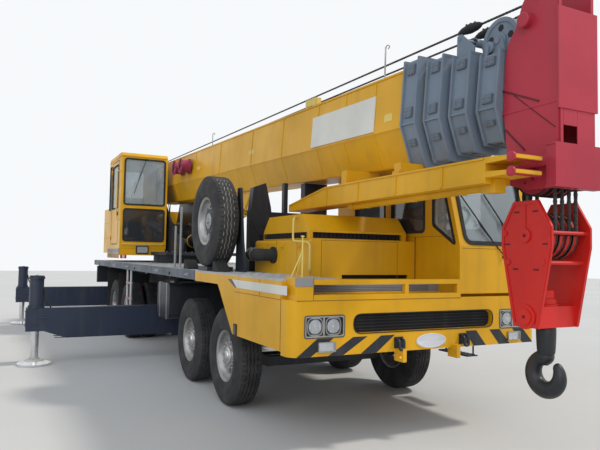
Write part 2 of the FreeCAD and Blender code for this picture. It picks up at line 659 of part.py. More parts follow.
def bumper():
    front = x_at(0)
    rear = x_at(d.bumper_depth)
    half = d.half_width
    beam = prism("bumper_beam", "XY", [(rear, -half), (front, -half), (front, half), (rear, half)],
                 d.bumper_low, d.bumper_high, rounded=[(d.bumper_round, (1, 2))])
    slot = prism("bumper_slot", "YZ",
                 [(-d.slot_half, d.slot_low), (d.slot_half, d.slot_low), (d.slot_half, d.slot_high),
                  (-d.slot_half, d.slot_high)],
                 front - d.slot_depth, front + 5, rounded=[(70, (0, 1, 2, 3))])
    pocket = prism("lamp_pocket", "YZ",
                   [(d.lamp_pocket_inner, d.lamp_line - d.lamp_pocket_half),
                    (d.lamp_pocket_outer, d.lamp_line - d.lamp_pocket_half),
                    (d.lamp_pocket_outer, d.lamp_line + d.lamp_pocket_half),
                    (d.lamp_pocket_inner, d.lamp_line + d.lamp_pocket_half)],
                   front - d.lamp_pocket_depth, front + 5, rounded=[(25, (0, 1, 2, 3))])
    hollow = box("bumper_hollow", (rear - 5, front - d.slot_depth - 30), (-half + 60, half - 60),
                 (d.bumper_low - 5, d.bumper_high - 40))
    shell = cut("bumper_shell", beam, [slot, *both_sides("lamp_pocket_other", pocket), hollow])
    bar = d.rail_bar
    right = -d.rail_right
    left = d.rail_left
    top = d.deck_top
    parts = [
        shell,
        box("step_bar_low", (front - bar, front), (right, left), (d.bumper_high, d.bumper_high + bar)),
        box("step_bar_high", (front - bar, front), (right, left), (top - bar, top)),
        box("corner_block", (rear, front), (right - d.corner_block_width, right),
            (d.bumper_high, d.corner_block_high)),
    ]
    for index, spot in enumerate((left - bar, -d.rail_post)):
        parts.append(box(f"step_post_{index}", (front - bar, front), (spot, spot + bar), (d.bumper_high, top)))
    eye = prism("tow_eye", "XZ",
                [(front - 60, d.bumper_low - 90), (front + 70, d.bumper_low - 90), (front + 70, d.bumper_low + 30),
                 (front - 60, d.bumper_low + 30)],
                -d.tow_eye_side - d.tow_eye_plate / 2, -d.tow_eye_side + d.tow_eye_plate / 2,
                circles=[(front + 25, d.bumper_low - 40, d.tow_eye_hole)])
    parts += both_sides("tow_eye_other", eye)
    return node("bumper", fuse("bumper_all", parts))


def side_skirts():
    front = x_at(d.bumper_depth)
    corner = x_at(d.skirt_rear_back)
    arch = x_at(d.arch_back)
    rear = x_at(d.black_edge_back)
    low = d.skirt_low
    top = d.deck_top - d.deck_plate
    outer = d.half_width
    wall = d.skirt_wall
    right = prism("skirt_right", "XZ",
                  [(front, low), (corner, low), (arch, d.arch_high), (rear, d.arch_high), (rear, top), (front, top)],
                  -outer, -outer + wall, rounded=[(60, (1, 2))])
    left = prism("skirt_left", "XZ",
                 [(front, low), (corner, low), (arch, d.platform_high), (front, d.platform_high)],
                 outer - wall, outer, rounded=[(60, (1,))])
    return node("side_skirts", group("skirts_all", [right, left]))


def deck():
    plate = d.deck_plate
    top = d.deck_top
    low = top - plate
    outer = d.half_width
    edge = d.deck_edge_width
    front = x_at(d.deck_start_back)
    split = x_at(d.black_edge_back)
    rear = x_at(d.deck_end_back)
    slew = x_at(d.slew_back)
    hood_side = -d.hood_right - 1
    parts = [
        box("walkway", (x_at(d.rest_back + d.rest_depth), front), (-outer, hood_side), (low, top)),
        box("platform", (x_at(d.hood_front_back), x_at(60)), (-d.rail_right, d.cab_inner - 5),
            (d.rail_high, d.platform_high)),
    ]
    main = box("main_plate", (rear, x_at(d.rest_back + d.rest_depth)), (-outer, outer), (low, top))
    under_cab = box("cab_corner", (x_at(d.cab_rear_back + 6), front), (d.cab_inner - 5, outer + 5),
                    (low - 5, top + 5))
    hole = rod("deck_hole", "Z", (slew, 0), d.slew_ring_radius + 60, low - 5, top + 5, WHEEL_SIDES)
    parts.append(cut("main_plate_open", main, [hole, under_cab]))
    parts.append(box("edge_right", (rear, split), (-outer, -outer + edge), (top - d.deck_edge_height, low)))
    parts.append(box("edge_left", (rear, x_at(d.cab_rear_back + 40)), (outer - edge, outer),
                     (top - d.deck_edge_height, low)))
    ladder = x_at(d.axle_3_back - 750)
    for index, x in enumerate((ladder, ladder + 330)):
        parts.append(rod(f"ladder_rail_{index}", "Z", (x, -outer + 25), 18, 520, top - d.deck_edge_height, 8))
    for index in range(3):
        parts.append(rod(f"rung_{index}", "X", (-outer + 25, 560 + index * 280), 14, ladder, ladder + 330, 8))
    return node("deck", fuse("deck_all", parts))


def engine_hood():
    wall = d.hood_wall
    front = x_at(d.hood_front_back)
    rear = x_at(d.hood_rear_back)
    right = -d.hood_right
    left = d.cab_inner - 1
    base = d.rail_high
    high = d.hood_high
    shell = prism("hood_block", "YZ", [(right, base), (left, base), (left, high), (right, high)], rear, front,
                  rounded=[(35, (3,))])
    inside = box("hood_inside", (rear + wall, front - wall), (right + wall, left - wall), (base - 5, high - wall))
    slot = prism("hood_front_slot", "YZ", [(-510, 1455), (left - 99, 1455), (left - 99, 1495), (-510, 1495)],
                 front - wall - 5, front + 5, rounded=[(19, (1, 2))])
    body = cut("hood_shell", shell, [inside, slot])
    slope = d.cover_chamfer
    near = x_at(d.cover_front_back)
    far = x_at(d.cover_rear_back)
    cover = prism("hood_cover", "XZ",
                  [(far, high), (near, high), (near, high + 90), (near - slope, d.cover_high),
                   (far + slope, d.cover_high), (far, high + 90)],
                  right + 20, d.cover_left)
    cover_inside = box("cover_inside", (far + 25, near - 25), (right + 45, d.cover_left - 25), (high - 5, high + 80))
    side_slot = box("cover_side_slot", (far + 60, near - 60), (right, right + 60), (high + 10, high + 70))
    front_slot = box("cover_front_slot", (near - 40, near + 10), (right + 60, d.cover_left - 60),
                     (high + 10, high + 70))
    top = cut("hood_cover_open", cover, [cover_inside, side_slot, front_slot])
    return node("engine_hood", fuse("hood_all", [body, top]))


def engine():
    block = box("engine_block", (x_at(d.engine_rear_back), x_at(d.engine_front_back)),
                (-d.rail_inner, d.rail_inner), (d.engine_low, d.engine_high))
    return node("engine", block)


def intake_duct():
    """A hose from the hood's right side, bent towards the tail."""
    side = -d.hood_right
    bend = side - 110
    start = x_at(1560)
    radius = d.duct_radius
    line = d.duct_line
    flange = rod("duct_flange", "Y", (start, line), radius + 25, side - 25, side - d.seat_gap, PIN_SIDES)
    curve = radius + 14
    route = [(start, side - 20, 0), (start, bend + curve, 0), (start - curve * 0.29, bend + curve * 0.29, 45),
             (start - curve, bend, 90), (x_at(1980), bend, 90)]
    upright = Rotation(Vector(1, 0, 0), -90)
    rings = []
    for x, y, turn in route:
        spin = Rotation(Vector(0, 0, 1), -turn)
        centre = Vector(number(x), number(y), number(line))
        rings.append([spin.multVec(upright.multVec(point)) + centre
                      for point in ring_points(radius, PIN_SIDES, (0, 0, 0))])
    return node("intake_duct", fuse("duct_all", [flange, skin("duct_hose", rings)]))


def cab_outline(inset):
    """The carrier cab's side outline, drawn in by a wall."""
    front = x_at(d.cab_front_back)
    return [
        (front - inset, d.platform_high + inset), (front - inset, d.cab_sill),
        (x_at(d.screen_top_back) - inset, d.screen_top), (x_at(d.screen_top_back + 130), d.cab_high - inset),
        (x_at(d.cab_rear_back) + inset, d.cab_high - inset), (x_at(d.cab_rear_back) + inset, d.platform_high + inset),
    ]


def window(name, x_front, x_rear, low, high, y_low, y_high, corner=45):
    return prism(name, "XZ", [(x_rear, low), (x_front, low), (x_front, high), (x_rear, high)], y_low, y_high,
                 rounded=[(corner, (0, 1, 2, 3))])


def hinge(name, x, y, heights, to_door, outwards):
    """Barrels on pins: the door's upper ones, and the body's lower ones with the pins."""
    moving = []
    fixed = []
    leaf_near = y - outwards * d.hinge_reach
    leaf_far = leaf_near + outwards * d.hinge_leaf
    y_span = (leaf_near, leaf_far) if outwards > 0 else (leaf_far, leaf_near)
    step = d.hinge_high
    gap = d.seat_gap

    def leaf(key, direction, low, high):
        far = x + direction * 48
        x_span = (x, far) if direction > 0 else (far, x)
        return box(f"{name}_leaf_{key}", x_span, y_span, (low, high))

    for index, spot in enumerate(heights):
        barrel = rod(f"{name}_barrel_{index}", "Z", (x, y), d.hinge_radius, spot, spot + step, SMALL_SIDES)
        moving += [barrel, leaf(f"door_{index}", to_door, spot, spot + step)]
        fixed.append(rod(f"{name}_low_{index}", "Z", (x, y), d.hinge_radius, spot - step, spot - gap, SMALL_SIDES))
        fixed.append(leaf(f"low_{index}", -to_door, spot - step, spot - gap))
        fixed.append(rod(f"{name}_pin_{index}", "Z", (x, y), d.hinge_pin, spot - step, spot + step, SMALL_SIDES))
    bore = rod(f"{name}_bore", "Z", (x, y), d.hinge_pin + d.hinge_play, heights[0] - 200,
               heights[-1] + 200, SMALL_SIDES)
    return moving, fixed, bore


def cab_hinge(part):
    x = x_at(d.door_front_back) - d.door_play / 2
    return hinge(f"cab_hinge_{part}", x, d.half_width + d.hinge_reach, (1560, 2480), -1, 1)


def op_hinge(part):
    x = x_at(d.op_door_rear_back) + d.door_play / 2
    return hinge(f"op_hinge_{part}", x, -d.op_outer - d.hinge_reach, (1990, 3400), 1, -1)


def cab_shell():
    wall = d.cab_wall
    inner = d.cab_inner
    outer = d.half_width
    solid = prism("cab_block", "XZ", cab_outline(0), inner, outer, rounded=[(90, (2, 3, 4))])
    hollow = prism("cab_hollow", "XZ", cab_outline(wall), inner + wall, outer - wall)
    screen = prism("cab_screen_hole", "YZ",
                   [(inner + 90, d.cab_sill + 35), (outer - 90, d.cab_sill + 35), (outer - 90, d.screen_top - 40),
                    (inner + 90, d.screen_top - 40)],
                   x_at(d.screen_top_back + 130), x_at(-30), rounded=[(80, (0, 1, 2, 3))])
    quarter = prism("cab_quarter_hole", "XZ",
                    [(x_at(415), 2015), (x_at(88), 1815), (x_at(300), 2540), (x_at(415), 2540)],
                    inner - 5, inner + wall + 5, rounded=[(30, (0, 1, 2, 3))])
    tools = [
        hollow, screen, quarter,
        window("cab_inner_front", x_at(560), x_at(1135), 1950, 2560, inner - 5, inner + wall + 5),
        window("cab_inner_rear", x_at(1270), x_at(1895), 1975, 2560, inner - 5, inner + wall + 5),
        window("cab_outer_rear", x_at(1640), x_at(2180), 2010, 2600, outer - wall - 5, outer + 5),
        box("cab_door_hole", (x_at(d.door_rear_back), x_at(d.door_front_back)), (outer - wall - 5, outer + 5),
            (d.door_low, d.door_high)),
        prism("cab_back_hole", "YZ", [(inner + 160, 2050), (outer - 160, 2050), (outer - 160, 2560),
                                      (inner + 160, 2560)],
              x_at(d.cab_rear_back) - 5, x_at(d.cab_rear_back) + wall + 5, rounded=[(45, (0, 1, 2, 3))]),
    ]
    _, fixed, _ = cab_hinge("body")
    return node("cab_shell", fuse("cab_shell_all", [cut("cab_shell_open", solid, tools), *fixed]))


def cab_door():
    play = d.door_play
    outer = d.half_width
    wall = d.cab_wall
    front = x_at(d.door_front_back) - play
    rear = x_at(d.door_rear_back) + play
    low = d.door_low + play
    high = d.door_high - play
    panel = box("cab_door_panel", (rear, front), (outer - wall, outer), (low, high))
    glass = window("cab_door_window", front - 90, rear + 90, 2010, high - 90, outer - wall - 5, outer + 5)
    moving, _, bore = cab_hinge("door")
    return node("cab_door", cut("cab_door_all", fuse("cab_door_open", [cut("cab_door_cut", panel, [glass]), *moving]),
                                [bore]))


def cab_interior():
    """The driver's seat, and the steering wheel on its column."""
    middle = (d.cab_inner + d.half_width) / 2
    floor = d.platform_high + d.cab_wall
    seat = x_at(1500)
    wide = d.seat_half
    parts = [
        box("driver_base", (seat - 200, seat + 200), (middle - wide + 60, middle + wide - 60), (floor, floor + 330)),
        box("driver_cushion", (seat - 240, seat + 260), (middle - wide, middle + wide), (floor + 330, floor + 450)),
        prism("driver_back", "XZ", [(seat - 240, floor + 450), (seat - 120, floor + 450), (seat - 240, floor + 1050),
                                    (seat - 330, floor + 1050)], middle - wide + 10, middle + wide - 10),
    ]
    side = d.cab_wall + d.dash_play
    dash = prism("dashboard", "XZ", [(x_at(130), floor), (x_at(130), floor + 380), (x_at(260), floor + 420),
                                     (x_at(420), floor + 340), (x_at(420), floor)], d.cab_inner + side,
                 d.half_width - side)
    column = rod("steering_column", "Z", (0, 0), 28, 0, 330, SMALL_SIDES)
    lean = Rotation(Vector(0, 1, 0), -40)
    place(column, x_at(520), middle, floor + 430, lean)
    foot = box("column_foot", (x_at(590), x_at(415)), (middle - 50, middle + 50), (floor, floor + 470))
    hoop = cut("steering_hoop", rod("hoop_outside", "Z", (0, 0), 231, -14, 14, WHEEL_SIDES),
               [rod("hoop_inside", "Z", (0, 0), 203, -16, 16, WHEEL_SIDES)])
    spoke = box("steering_spoke", (-22, 22), (-212, 212), (-9, 9))
    wheel = copy_at("steering_wheel", fuse("steering_wheel_form", [hoop, spoke]), x_at(520) - 212, middle,
                    floor + 430 + 253, lean)
    return node("cab_interior", group("cab_inside", [fuse("driver_seat", parts),
                                                     fuse("controls", [dash, foot, column, wheel])]))


def boom_rest():
    """The rest that the lowered boom lies on, and the carrier of the spare wheel beside it."""
    front = x_at(d.rest_back)
    rear = x_at(d.rest_back + d.rest_depth)
    base = d.deck_top
    low = d.rest_beam_low
    high = d.rest_beam_high
    right = -d.rest_right
    wide = d.rest_post_width
    leg = 300
    thin = -d.jib_inner - 110
    saddle = boom_floor_height(d.rest_back + d.rest_depth / 2) - d.free_gap - 4
    top = d.rest_post_top
    post = prism("rest_post", "YZ",
                 [(right, base), (right + wide, base), (right + wide, low), (right + wide - 20, high + 60),
                  (right + wide - 90, top), (right + 40, top - 60), (right, low)], rear, front)
    rest = [
        post,
        box("rest_beam", (rear, front), (right, leg), (low, high)),
        box("rest_leg", (rear, front), (60, leg), (base, low)),
        box("rest_thin_post", (rear + 20, front - 20), (thin - 25, thin + 25), (high, top + 20)),
        box("rest_saddle", (rear, front), (-160, 160), (high, saddle)),
    ]
    middle = x_at(d.spare_back)
    inner = -d.spare_side + d.tyre_half + 12
    hub = d.deck_top + d.spare_seat + d.wheel_radius
    carrier = [
        box("carrier_bar", (middle - 400, middle + 400), (inner, inner + 30), (hub - 60, hub + 60)),
        rod("carrier_stud", "Y", (middle, hub), 60, -d.spare_side - 46, inner + 20, PIN_SIDES),
        rod("carrier_plate", "Y", (middle, hub), 150, -d.spare_side - 36 - 26, -d.spare_side - 36 - d.seat_gap,
            PIN_SIDES),
        box("carrier_chock", (middle - 170, middle + 170), (-d.spare_side - 130, inner + 30),
            (base, base + d.spare_seat - d.seat_gap)),
    ]
    for index, sign in enumerate((1, -1)):
        corners = [
            (middle + sign * 330, base), (middle + sign * 620, base), (middle + sign * 520, base + 350),
            (middle + sign * 430, hub + 380), (middle + sign * 340, hub + 380),
        ]
        carrier.append(prism(f"carrier_leg_{index}", "XZ", corners, inner, inner + 30))
    return node("boom_rest", group("rest_all", [fuse("rest", rest), fuse("carrier", carrier)]))


def lamps():
    parts = []
    floor = x_at(d.lamp_pocket_depth)
    tail = x_at(d.tail_reach)
    far = d.half_width - d.deck_edge_width - 50
    near = far - d.tail_lamp_width
    for side, sign, _ in SIDES:
        for index, reach in enumerate((1000, 1175)):
            parts.append(rod(f"head_lamp_{side}{index}", "X", (sign * reach, d.lamp_line), d.lamp_radius, floor,
                             floor + 28, WHEEL_SIDES))
        y = (sign * near, sign * far) if sign > 0 else (sign * far, sign * near)
        parts.append(box(f"tail_lamp_{side}", (tail, tail + d.tail_lamp_depth), y,
                         (d.rail_high - 250, d.rail_high - 130)))
    return node("lamps", group("lamps_all", parts))


def turntable():
    slew = x_at(d.slew_back)
    low = d.table_low
    top = low + d.table_plate
    inner = d.cheek_inner
    outer = inner + d.cheek_wall
    foot = x_at(d.foot_back)
    rear = x_at(d.weight_front_back)
    base = box("table_plate_box", (rear, slew + 1150), (-760, 760), (low, top))
    shelf = box("cab_shelf", (x_at(d.op_rear_back), x_at(d.op_front_back)), (-d.op_outer, -700), (low, d.op_low))
    bed = box("cab_bed", (x_at(d.op_rear_back), x_at(d.op_front_back)), (-760, -d.op_inner), (top, d.op_low))
    outline = [
        (rear, top), (slew + 900, top), (slew + 900, top + 260), (slew + 250, top + 420),
        (foot + 330, d.foot_high + 60), (foot + 170, d.foot_high + 190), (foot - 170, d.foot_high + 190),
        (foot - 330, d.foot_high + 20), (rear, d.weight_high - 350),
    ]
    cheek = prism("cheek", "XZ", outline, inner, outer, rounded=[(120, (5, 6))])
    parts = [base, shelf, bed, *both_sides("cheek_other", cheek)]
    pin = rod("foot_pin", "Y", (foot, d.foot_high), d.foot_pin_radius, -outer - 30, outer + 30)
    parts.append(pin)
    lug = d.luff_base_high
    spot = x_at(d.luff_base_back)
    plate = prism("luff_lug", "XZ", [(spot - 190, top), (spot + 190, top), (spot + 110, lug + 60),
                                     (spot + 50, lug + 110), (spot - 50, lug + 110), (spot - 110, lug + 60)],
                  110, 150)
    parts += both_sides("luff_lug_other", plate)
    parts.append(rod("luff_base_pin", "Y", (spot, lug), d.luff_pin_radius, -160, 160))
    for index, (back, high) in enumerate(((d.winch_1_back, d.winch_1_high), (d.winch_2_back, d.winch_2_high))):
        parts.append(rod(f"winch_shaft_{index}", "Y", (x_at(back), high), d.winch_shaft, -inner - 5, inner + 5,
                         PIN_SIDES))
    return node("turntable", fuse("turntable_all", parts))


def winches():
    drums = []
    half = d.drum_half
    wide = d.drum_flange
    core = d.drum_radius
    drum = flat_sided("drum_outside", [(-half, wide), (-half + 20, wide), (-half + 30, core), (half - 30, core),
                                       (half - 20, wide), (half, wide)], WHEEL_SIDES)
    bore = around(d.winch_shaft + d.pin_play, PIN_SIDES)
    form = cut("drum_form", drum, [rod("drum_bore", "Z", (0, 0), bore, -half - 5, half + 5, PIN_SIDES, HALF_STEP)])
    for index, (back, high) in enumerate(((d.winch_1_back, d.winch_1_high), (d.winch_2_back, d.winch_2_high))):
        drums.append(copy_at(f"drum_{index}", form, x_at(back), 0, high, TURNS["Y"]))
    return node("winches", group("drums_all", drums))


def counterweight():
    front = x_at(d.weight_front_back)
    rear = x_at(d.weight_rear_back)
    half = d.weight_half
    low = d.weight_low
    high = d.weight_high
    block = prism("weight_block", "XY",
                  [(rear, -half + 260), (rear, half - 260), (rear + 180, half), (front, half), (front, -half),
                   (rear + 180, -half)], low, high)
    return node("counterweight", block)


def op_cab():
    wall = d.op_wall
    front = x_at(d.op_front_back)
    rear = x_at(d.op_rear_back)
    right = -d.op_outer
    left = -d.op_inner
    low = d.op_low
    high = d.op_high
    solid = prism("op_block", "XZ", [(rear, low), (front, low), (front, high - 60), (front - 60, high),
                                     (rear + 60, high), (rear, high - 60)], right, left)
    inside = box("op_inside", (rear + wall, front - wall), (right + wall, left - wall), (low + wall, high - wall))

    def front_pane(name, bottom, top):
        return prism(name, "YZ", [(right + 70, bottom), (left - 60, bottom), (left - 60, top), (right + 70, top)],
                     front - wall - 5, front + 5, rounded=[(50, (0, 1, 2, 3))])

    tools = [
        inside,
        front_pane("op_screen_hole", 2660, high - 130),
        front_pane("op_lower_hole", 1920, 2560),
        window("op_inner_hole", front - 120, rear + 500, 2600, high - 160, left - wall - 5, left + 5, 50),
        window("op_side_hole", x_at(d.op_door_rear_back) - 60, rear + 90, 2600, high - 180, right - 5,
               right + wall + 5, 40),
        box("op_door_hole", (x_at(d.op_door_rear_back), x_at(d.op_door_front_back)), (right - 5, right + wall + 5),
            (d.op_door_low, d.op_door_high)),
        prism("op_back_hole", "YZ", [(right + 180, 2700), (left - 180, 2700), (left - 180, high - 200),
                                     (right + 180, high - 200)], rear - 5, rear + wall + 5),
        box("op_roof_hole", (rear + 600, front - 200), (right + 170, left - 170), (high - wall - 5, high + 5)),
    ]
    _, fixed, _ = op_hinge("body")
    return node("op_cab", fuse("op_cab_all", [cut("op_cab_open", solid, tools), *fixed]))


def op_door():
    play = d.door_play
    wall = d.op_wall
    right = -d.op_outer
    front = x_at(d.op_door_front_back) - play
    rear = x_at(d.op_door_rear_back) + play
    panel = box("op_door_panel", (rear, front), (right, right + wall), (d.op_door_low + play, d.op_door_high - play))
    pane = window("op_door_window", front - 80, rear + 80, 2600, d.op_door_high - 100, right - 5, right + wall + 5)
    moving, _, bore = op_hinge("door")
    return node("op_door", cut("op_door_all", fuse("op_door_open", [cut("op_door_cut", panel, [pane]), *moving]),
                               [bore]))


def op_interior():
    """The operator's seat with its two lever boxes."""
    middle = -(d.op_inner + d.op_outer) / 2
    floor = d.op_low + d.op_wall
    seat = x_at(d.op_front_back + 880)
    parts = [
        box("op_seat_base", (seat - 190, seat + 190), (middle - 170, middle + 170), (floor, floor + 360)),
        box("op_cushion", (seat - 240, seat + 260), (middle - 230, middle + 230), (floor + 360, floor + 480)),
        prism("op_seat_back", "XZ", [(seat - 240, floor + 480), (seat - 120, floor + 480), (seat - 230, floor + 1080),
                                     (seat - 320, floor + 1080)], middle - 220, middle + 220),
    ]
    desk = x_at(d.op_front_back + 260)
    console = box("op_console", (desk - 110, desk + 110), (middle - 330, middle + 300), (floor, floor + 560))
    levers = [rod(f"op_lever_{i}", "Z", (desk, middle - 165 + i * 110), 12, floor + 555, floor + 820, 6)
              for i in range(4)]
    return node("op_interior", group("op_inside_all", [fuse("op_seat", parts), fuse("op_console_all",
                                                                                     [console, *levers])]))


def boom_place(item):
    """Lay a piece that was drawn along X from the foot pin onto the lowered boom's line."""
    return place(item, x_at(d.foot_back), 0, d.foot_high, Rotation(Vector(0, 1, 0), number(d.boom_droop)))


def boom_floor_height(back):
    """The height of the base section's underside at a place along the machine."""
    ahead = d.foot_back - back
    slope = math.tan(math.radians(number(d.boom_droop)))
    return d.foot_high + d.boom_bottom - ahead * slope


def boom_section_outline(step, proud):
    """The six-sided section of boom tube number step, grown by proud."""
    half = d.boom_half - step * d.boom_half_step + proud
    roof = half - d.boom_roof_less
    floor = d.boom_floor_half - step * d.boom_floor_step + proud * 0.6
    top = d.boom_top - step * d.boom_height_step + proud
    low = d.boom_bottom + step * d.boom_height_step - proud
    return [(-floor, low), (floor, low), (half, d.boom_ridge), (roof, top), (-roof, top), (-half, d.boom_ridge)]


def boom_tube(name, step, start, end, extra=0):
    """A length of boom tube, along X."""
    outer = boom_section_outline(step, extra)
    inner = boom_section_outline(step, -d.boom_wall)
    return prism(name, "YZ", outer, start, end, cuts=[inner])


def collar(name, step, start):
    """The thick end frame of a section, whose floor pad carries the next section."""
    outer = boom_section_outline(step, d.collar_proud)
    next_half = d.boom_half - (step + 1) * d.boom_half_step
    floor = d.boom_floor_half - (step + 1) * d.boom_floor_step
    low = d.boom_bottom + (step + 1) * d.boom_height_step - d.pad_gap
    top = d.boom_top - (step + 1) * d.boom_height_step + d.free_gap
    gap = d.free_gap
    roof = next_half - d.boom_roof_less
    inner = [(-floor - 4, low), (floor + 4, low), (next_half + gap, d.boom_ridge), (roof + gap, top),
             (-roof - gap, top), (-next_half - gap, d.boom_ridge)]
    return prism(name, "YZ", outer, start, start + d.collar_length, cuts=[inner])


def collar_start(step):
    return d.boom_front + step * d.collar_pitch


def jib_hanger_places():
    """Along the boom, the drop below its line and the top, of the two hangers that carry the stowed jib."""
    return (
        (Length(8600, "(8600)"), d.rear_pad_drop, d.boom_bottom + 2),
        (d.boom_front + 110, d.front_pad_drop, d.boom_bottom - 10),
    )


def base_section():
    tail = -d.boom_tail
    tube = boom_tube("base_tube", 0, tail, d.boom_front + 5)
    back_wall = prism("base_back_wall", "YZ", boom_section_outline(0, 0), tail, tail + 20)
    frame = collar("base_collar", 0, d.boom_front)
    boss = rod("foot_boss", "Y", (0, 0), d.foot_pin_radius + 45, -d.boom_half - 15, d.boom_half + 15)
    hole = rod("foot_hole", "Y", (0, 0), d.foot_pin_radius + d.pin_play, -d.boom_half - 20, d.boom_half + 20)
    eye = d.luff_eye_along
    below = -d.luff_eye_below
    low = d.boom_bottom
    lug = prism("luff_eye_lug", "XZ", [(eye - 330, low + 2), (eye - 90, below - 90), (eye + 90, below - 90),
                                       (eye + 330, low + 2)], d.eye_radius + 10, d.eye_radius + 50)
    parts = [tube, back_wall, frame, boss, *both_sides("luff_eye_lug_other", lug)]
    for index, (along, drop, top) in enumerate(jib_hanger_places()):
        parts.append(box(f"jib_hanger_{index}", (along - 50, along + 50), (-d.jib_inner - 160, -60), (-drop, top)))
    solid = cut("base_section_solid", fuse("base_section_parts", parts), [hole])
    return node("boom_1", boom_place(group("boom_1_all", [solid])))


def inner_section(step):
    """Boom section 2, 3 or 4: a tube with its collar."""
    start = d.section_root + step * d.section_root_step
    front = collar_start(step)
    parts = [boom_tube(f"tube_{step}", step, start, front + 5), collar(f"collar_{step}", step, front)]
    if step == 3:
        roof = d.boom_top - step * d.boom_height_step + d.collar_proud
        spot = front + 60
        bracket = prism("pulley_bracket", "XZ",
                        [(spot - 90, roof - 5), (spot + 150, roof - 5), (spot + 110, roof + 110),
                         (spot + 60, roof + 160), (spot, roof + 110)], -150, -120)
        other = prism("pulley_bracket_inner", "XZ",
                      [(spot - 90, roof - 5), (spot + 150, roof - 5), (spot + 110, roof + 110),
                       (spot + 60, roof + 160), (spot, roof + 110)], -60, -30)
        wheel = rod("pulley", "Y", (spot + 60, roof + 110), d.pulley_radius, -90 - d.pulley_half,
                    -90 + d.pulley_half, WHEEL_SIDES)
        pin = rod("pulley_pin", "Y", (spot + 60, roof + 110), 25, -160, -20, SMALL_SIDES)
        notch = box("pulley_notch", (spot + 60 - d.pulley_radius - 10, spot + 60 + d.pulley_radius + 10),
                    (-90 - d.pulley_half - 8, -90 + d.pulley_half + 8), (roof - 90, roof + 5))
        body = cut("collar_3_notched", fuse("section_3_solid", parts), [notch])
        parts = [body, bracket, other, wheel, pin]
    return node(f"boom_{step + 1}", boom_place(group(f"boom_{step + 1}_all", [fuse(f"section_{step}_all", parts)])))


def boom_head():
    """The top section's tube with the head's two plates, its sheaves and the box across its foot."""
    start = d.section_root + 4 * d.section_root_step
    tube = boom_tube("tube_4", 4, start, collar_start(4) + 60)
    tube_laid = boom_place(group("tube_4_laid", [tube]))
    tip = x_at(0) + d.head_reach
    inner = d.head_inner
    outer = inner + d.head_plate
    outline = [
        (tip - 310, 2181), (tip - 20, 2177), (tip - 20, 3560), (tip - 120, 3745), (tip - 210, 3745),
        (tip - 340, 3560), (tip - 400, 3405), (tip - 480, 3300), (tip - 508, 3171), (tip - 522, 2790),
        (tip - 490, 2500), (tip - 470, 2230),
    ]
    plate = prism("head_plate_left", "XZ", outline, inner, outer)
    sheave_x = tip - d.sheave_back_of_head
    parts = [
        tube_laid, *both_sides("head_plate_right", plate),
        box("head_front", (tip - 20, tip - 5), (-outer - 20, outer + 20), (2720, 3430)),
        box("head_cross_box", (tip - 80, tip), (-outer - 60, outer + 60), (2177, 2480)),
        rod("head_pin", "Y", (sheave_x, d.sheave_high), 42, -outer - 12, outer + 12, PIN_SIDES),
        rod("idler_pin", "Y", (tip - 295, 3419), 55, -outer - 25, outer + 25, PIN_SIDES),
        rod("idler", "Y", (tip - 295, 3419), 150, -25, 25, WHEEL_SIDES),
    ]
    for index in range(4):
        middle = (index - 1.5) * d.sheave_pitch
        parts.append(rod(f"head_sheave_{index}", "Y", (sheave_x, d.sheave_high), d.sheave_radius,
                         middle - d.sheave_half, middle + d.sheave_half, WHEEL_SIDES))
    for side, sign, _ in SIDES:
        y = (sign * outer, sign * (outer + 60)) if sign > 0 else (sign * (outer + 60), sign * outer)
        parts.append(box(f"jib_lug_{side}", (tip - 330, tip - 80), y, (2330, 2400)))
    return node("boom_head", fuse("head_all", parts))


def jib():
    """The swing-away jib, stowed under the right side of the boom."""
    inner = -d.jib_inner
    outer = -d.jib_outer
    outline = [
        (7500, -720), (10650, -600), (10650, -415), (8369, -480), (7500, -640),
    ]
    beam = prism("jib_beam", "XZ", outline, outer, inner)
    prongs = [
        prism(f"jib_prong_{index}", "XZ", [(10640, low - 15), (10930, low), (10930, low + 24), (10640, low + 30)],
              outer, inner)
        for index, low in enumerate((-445, -545))
    ]
    side = (d.jib_inner + d.jib_outer) / 2
    tube = rod("jib_tube", "Z", (0, 0), d.jib_tube_radius, 0, 1950, 8)
    place(tube, 8700, -side, -690, Rotation(Vector(0, 1, 0), 90 - 2.5))
    clevis = box("jib_clevis", (10540, 10680), (-side - 50, -side + 50), (-660, -560))
    foot = box("jib_tube_foot", (8690, 8770), (-side - 40, -side + 40), (-720, -660))
    near = outer + d.jib_pad_inset
    far = inner - d.jib_pad_inset
    pads = [
        box(f"jib_pad_{index}", (along - 50, along + 50), (near, far), (-drop - 50, -drop - d.seat_gap))
        for index, (along, drop, _) in enumerate(jib_hanger_places())
    ]
    solid = fuse("jib_solid", [beam, *prongs, tube, clevis, foot, *pads])
    return node("jib", boom_place(group("jib_all", [solid])))


def lift_line():
    """The rest angle and length of the lifting cylinder, from its base pin to the boom's eye."""
    droop = math.radians(number(d.boom_droop))
    along = number(d.luff_eye_along)
    below = number(d.luff_eye_below)
    foot_x = -number(d.foot_back)
    eye_x = foot_x + along * math.cos(droop) - below * math.sin(droop)
    eye_z = number(d.foot_high) - along * math.sin(droop) - below * math.cos(droop)
    run = eye_x + number(d.luff_base_back)
    rise = eye_z - number(d.luff_base_high)
    return math.degrees(math.atan2(rise, run)), math.hypot(run, rise)


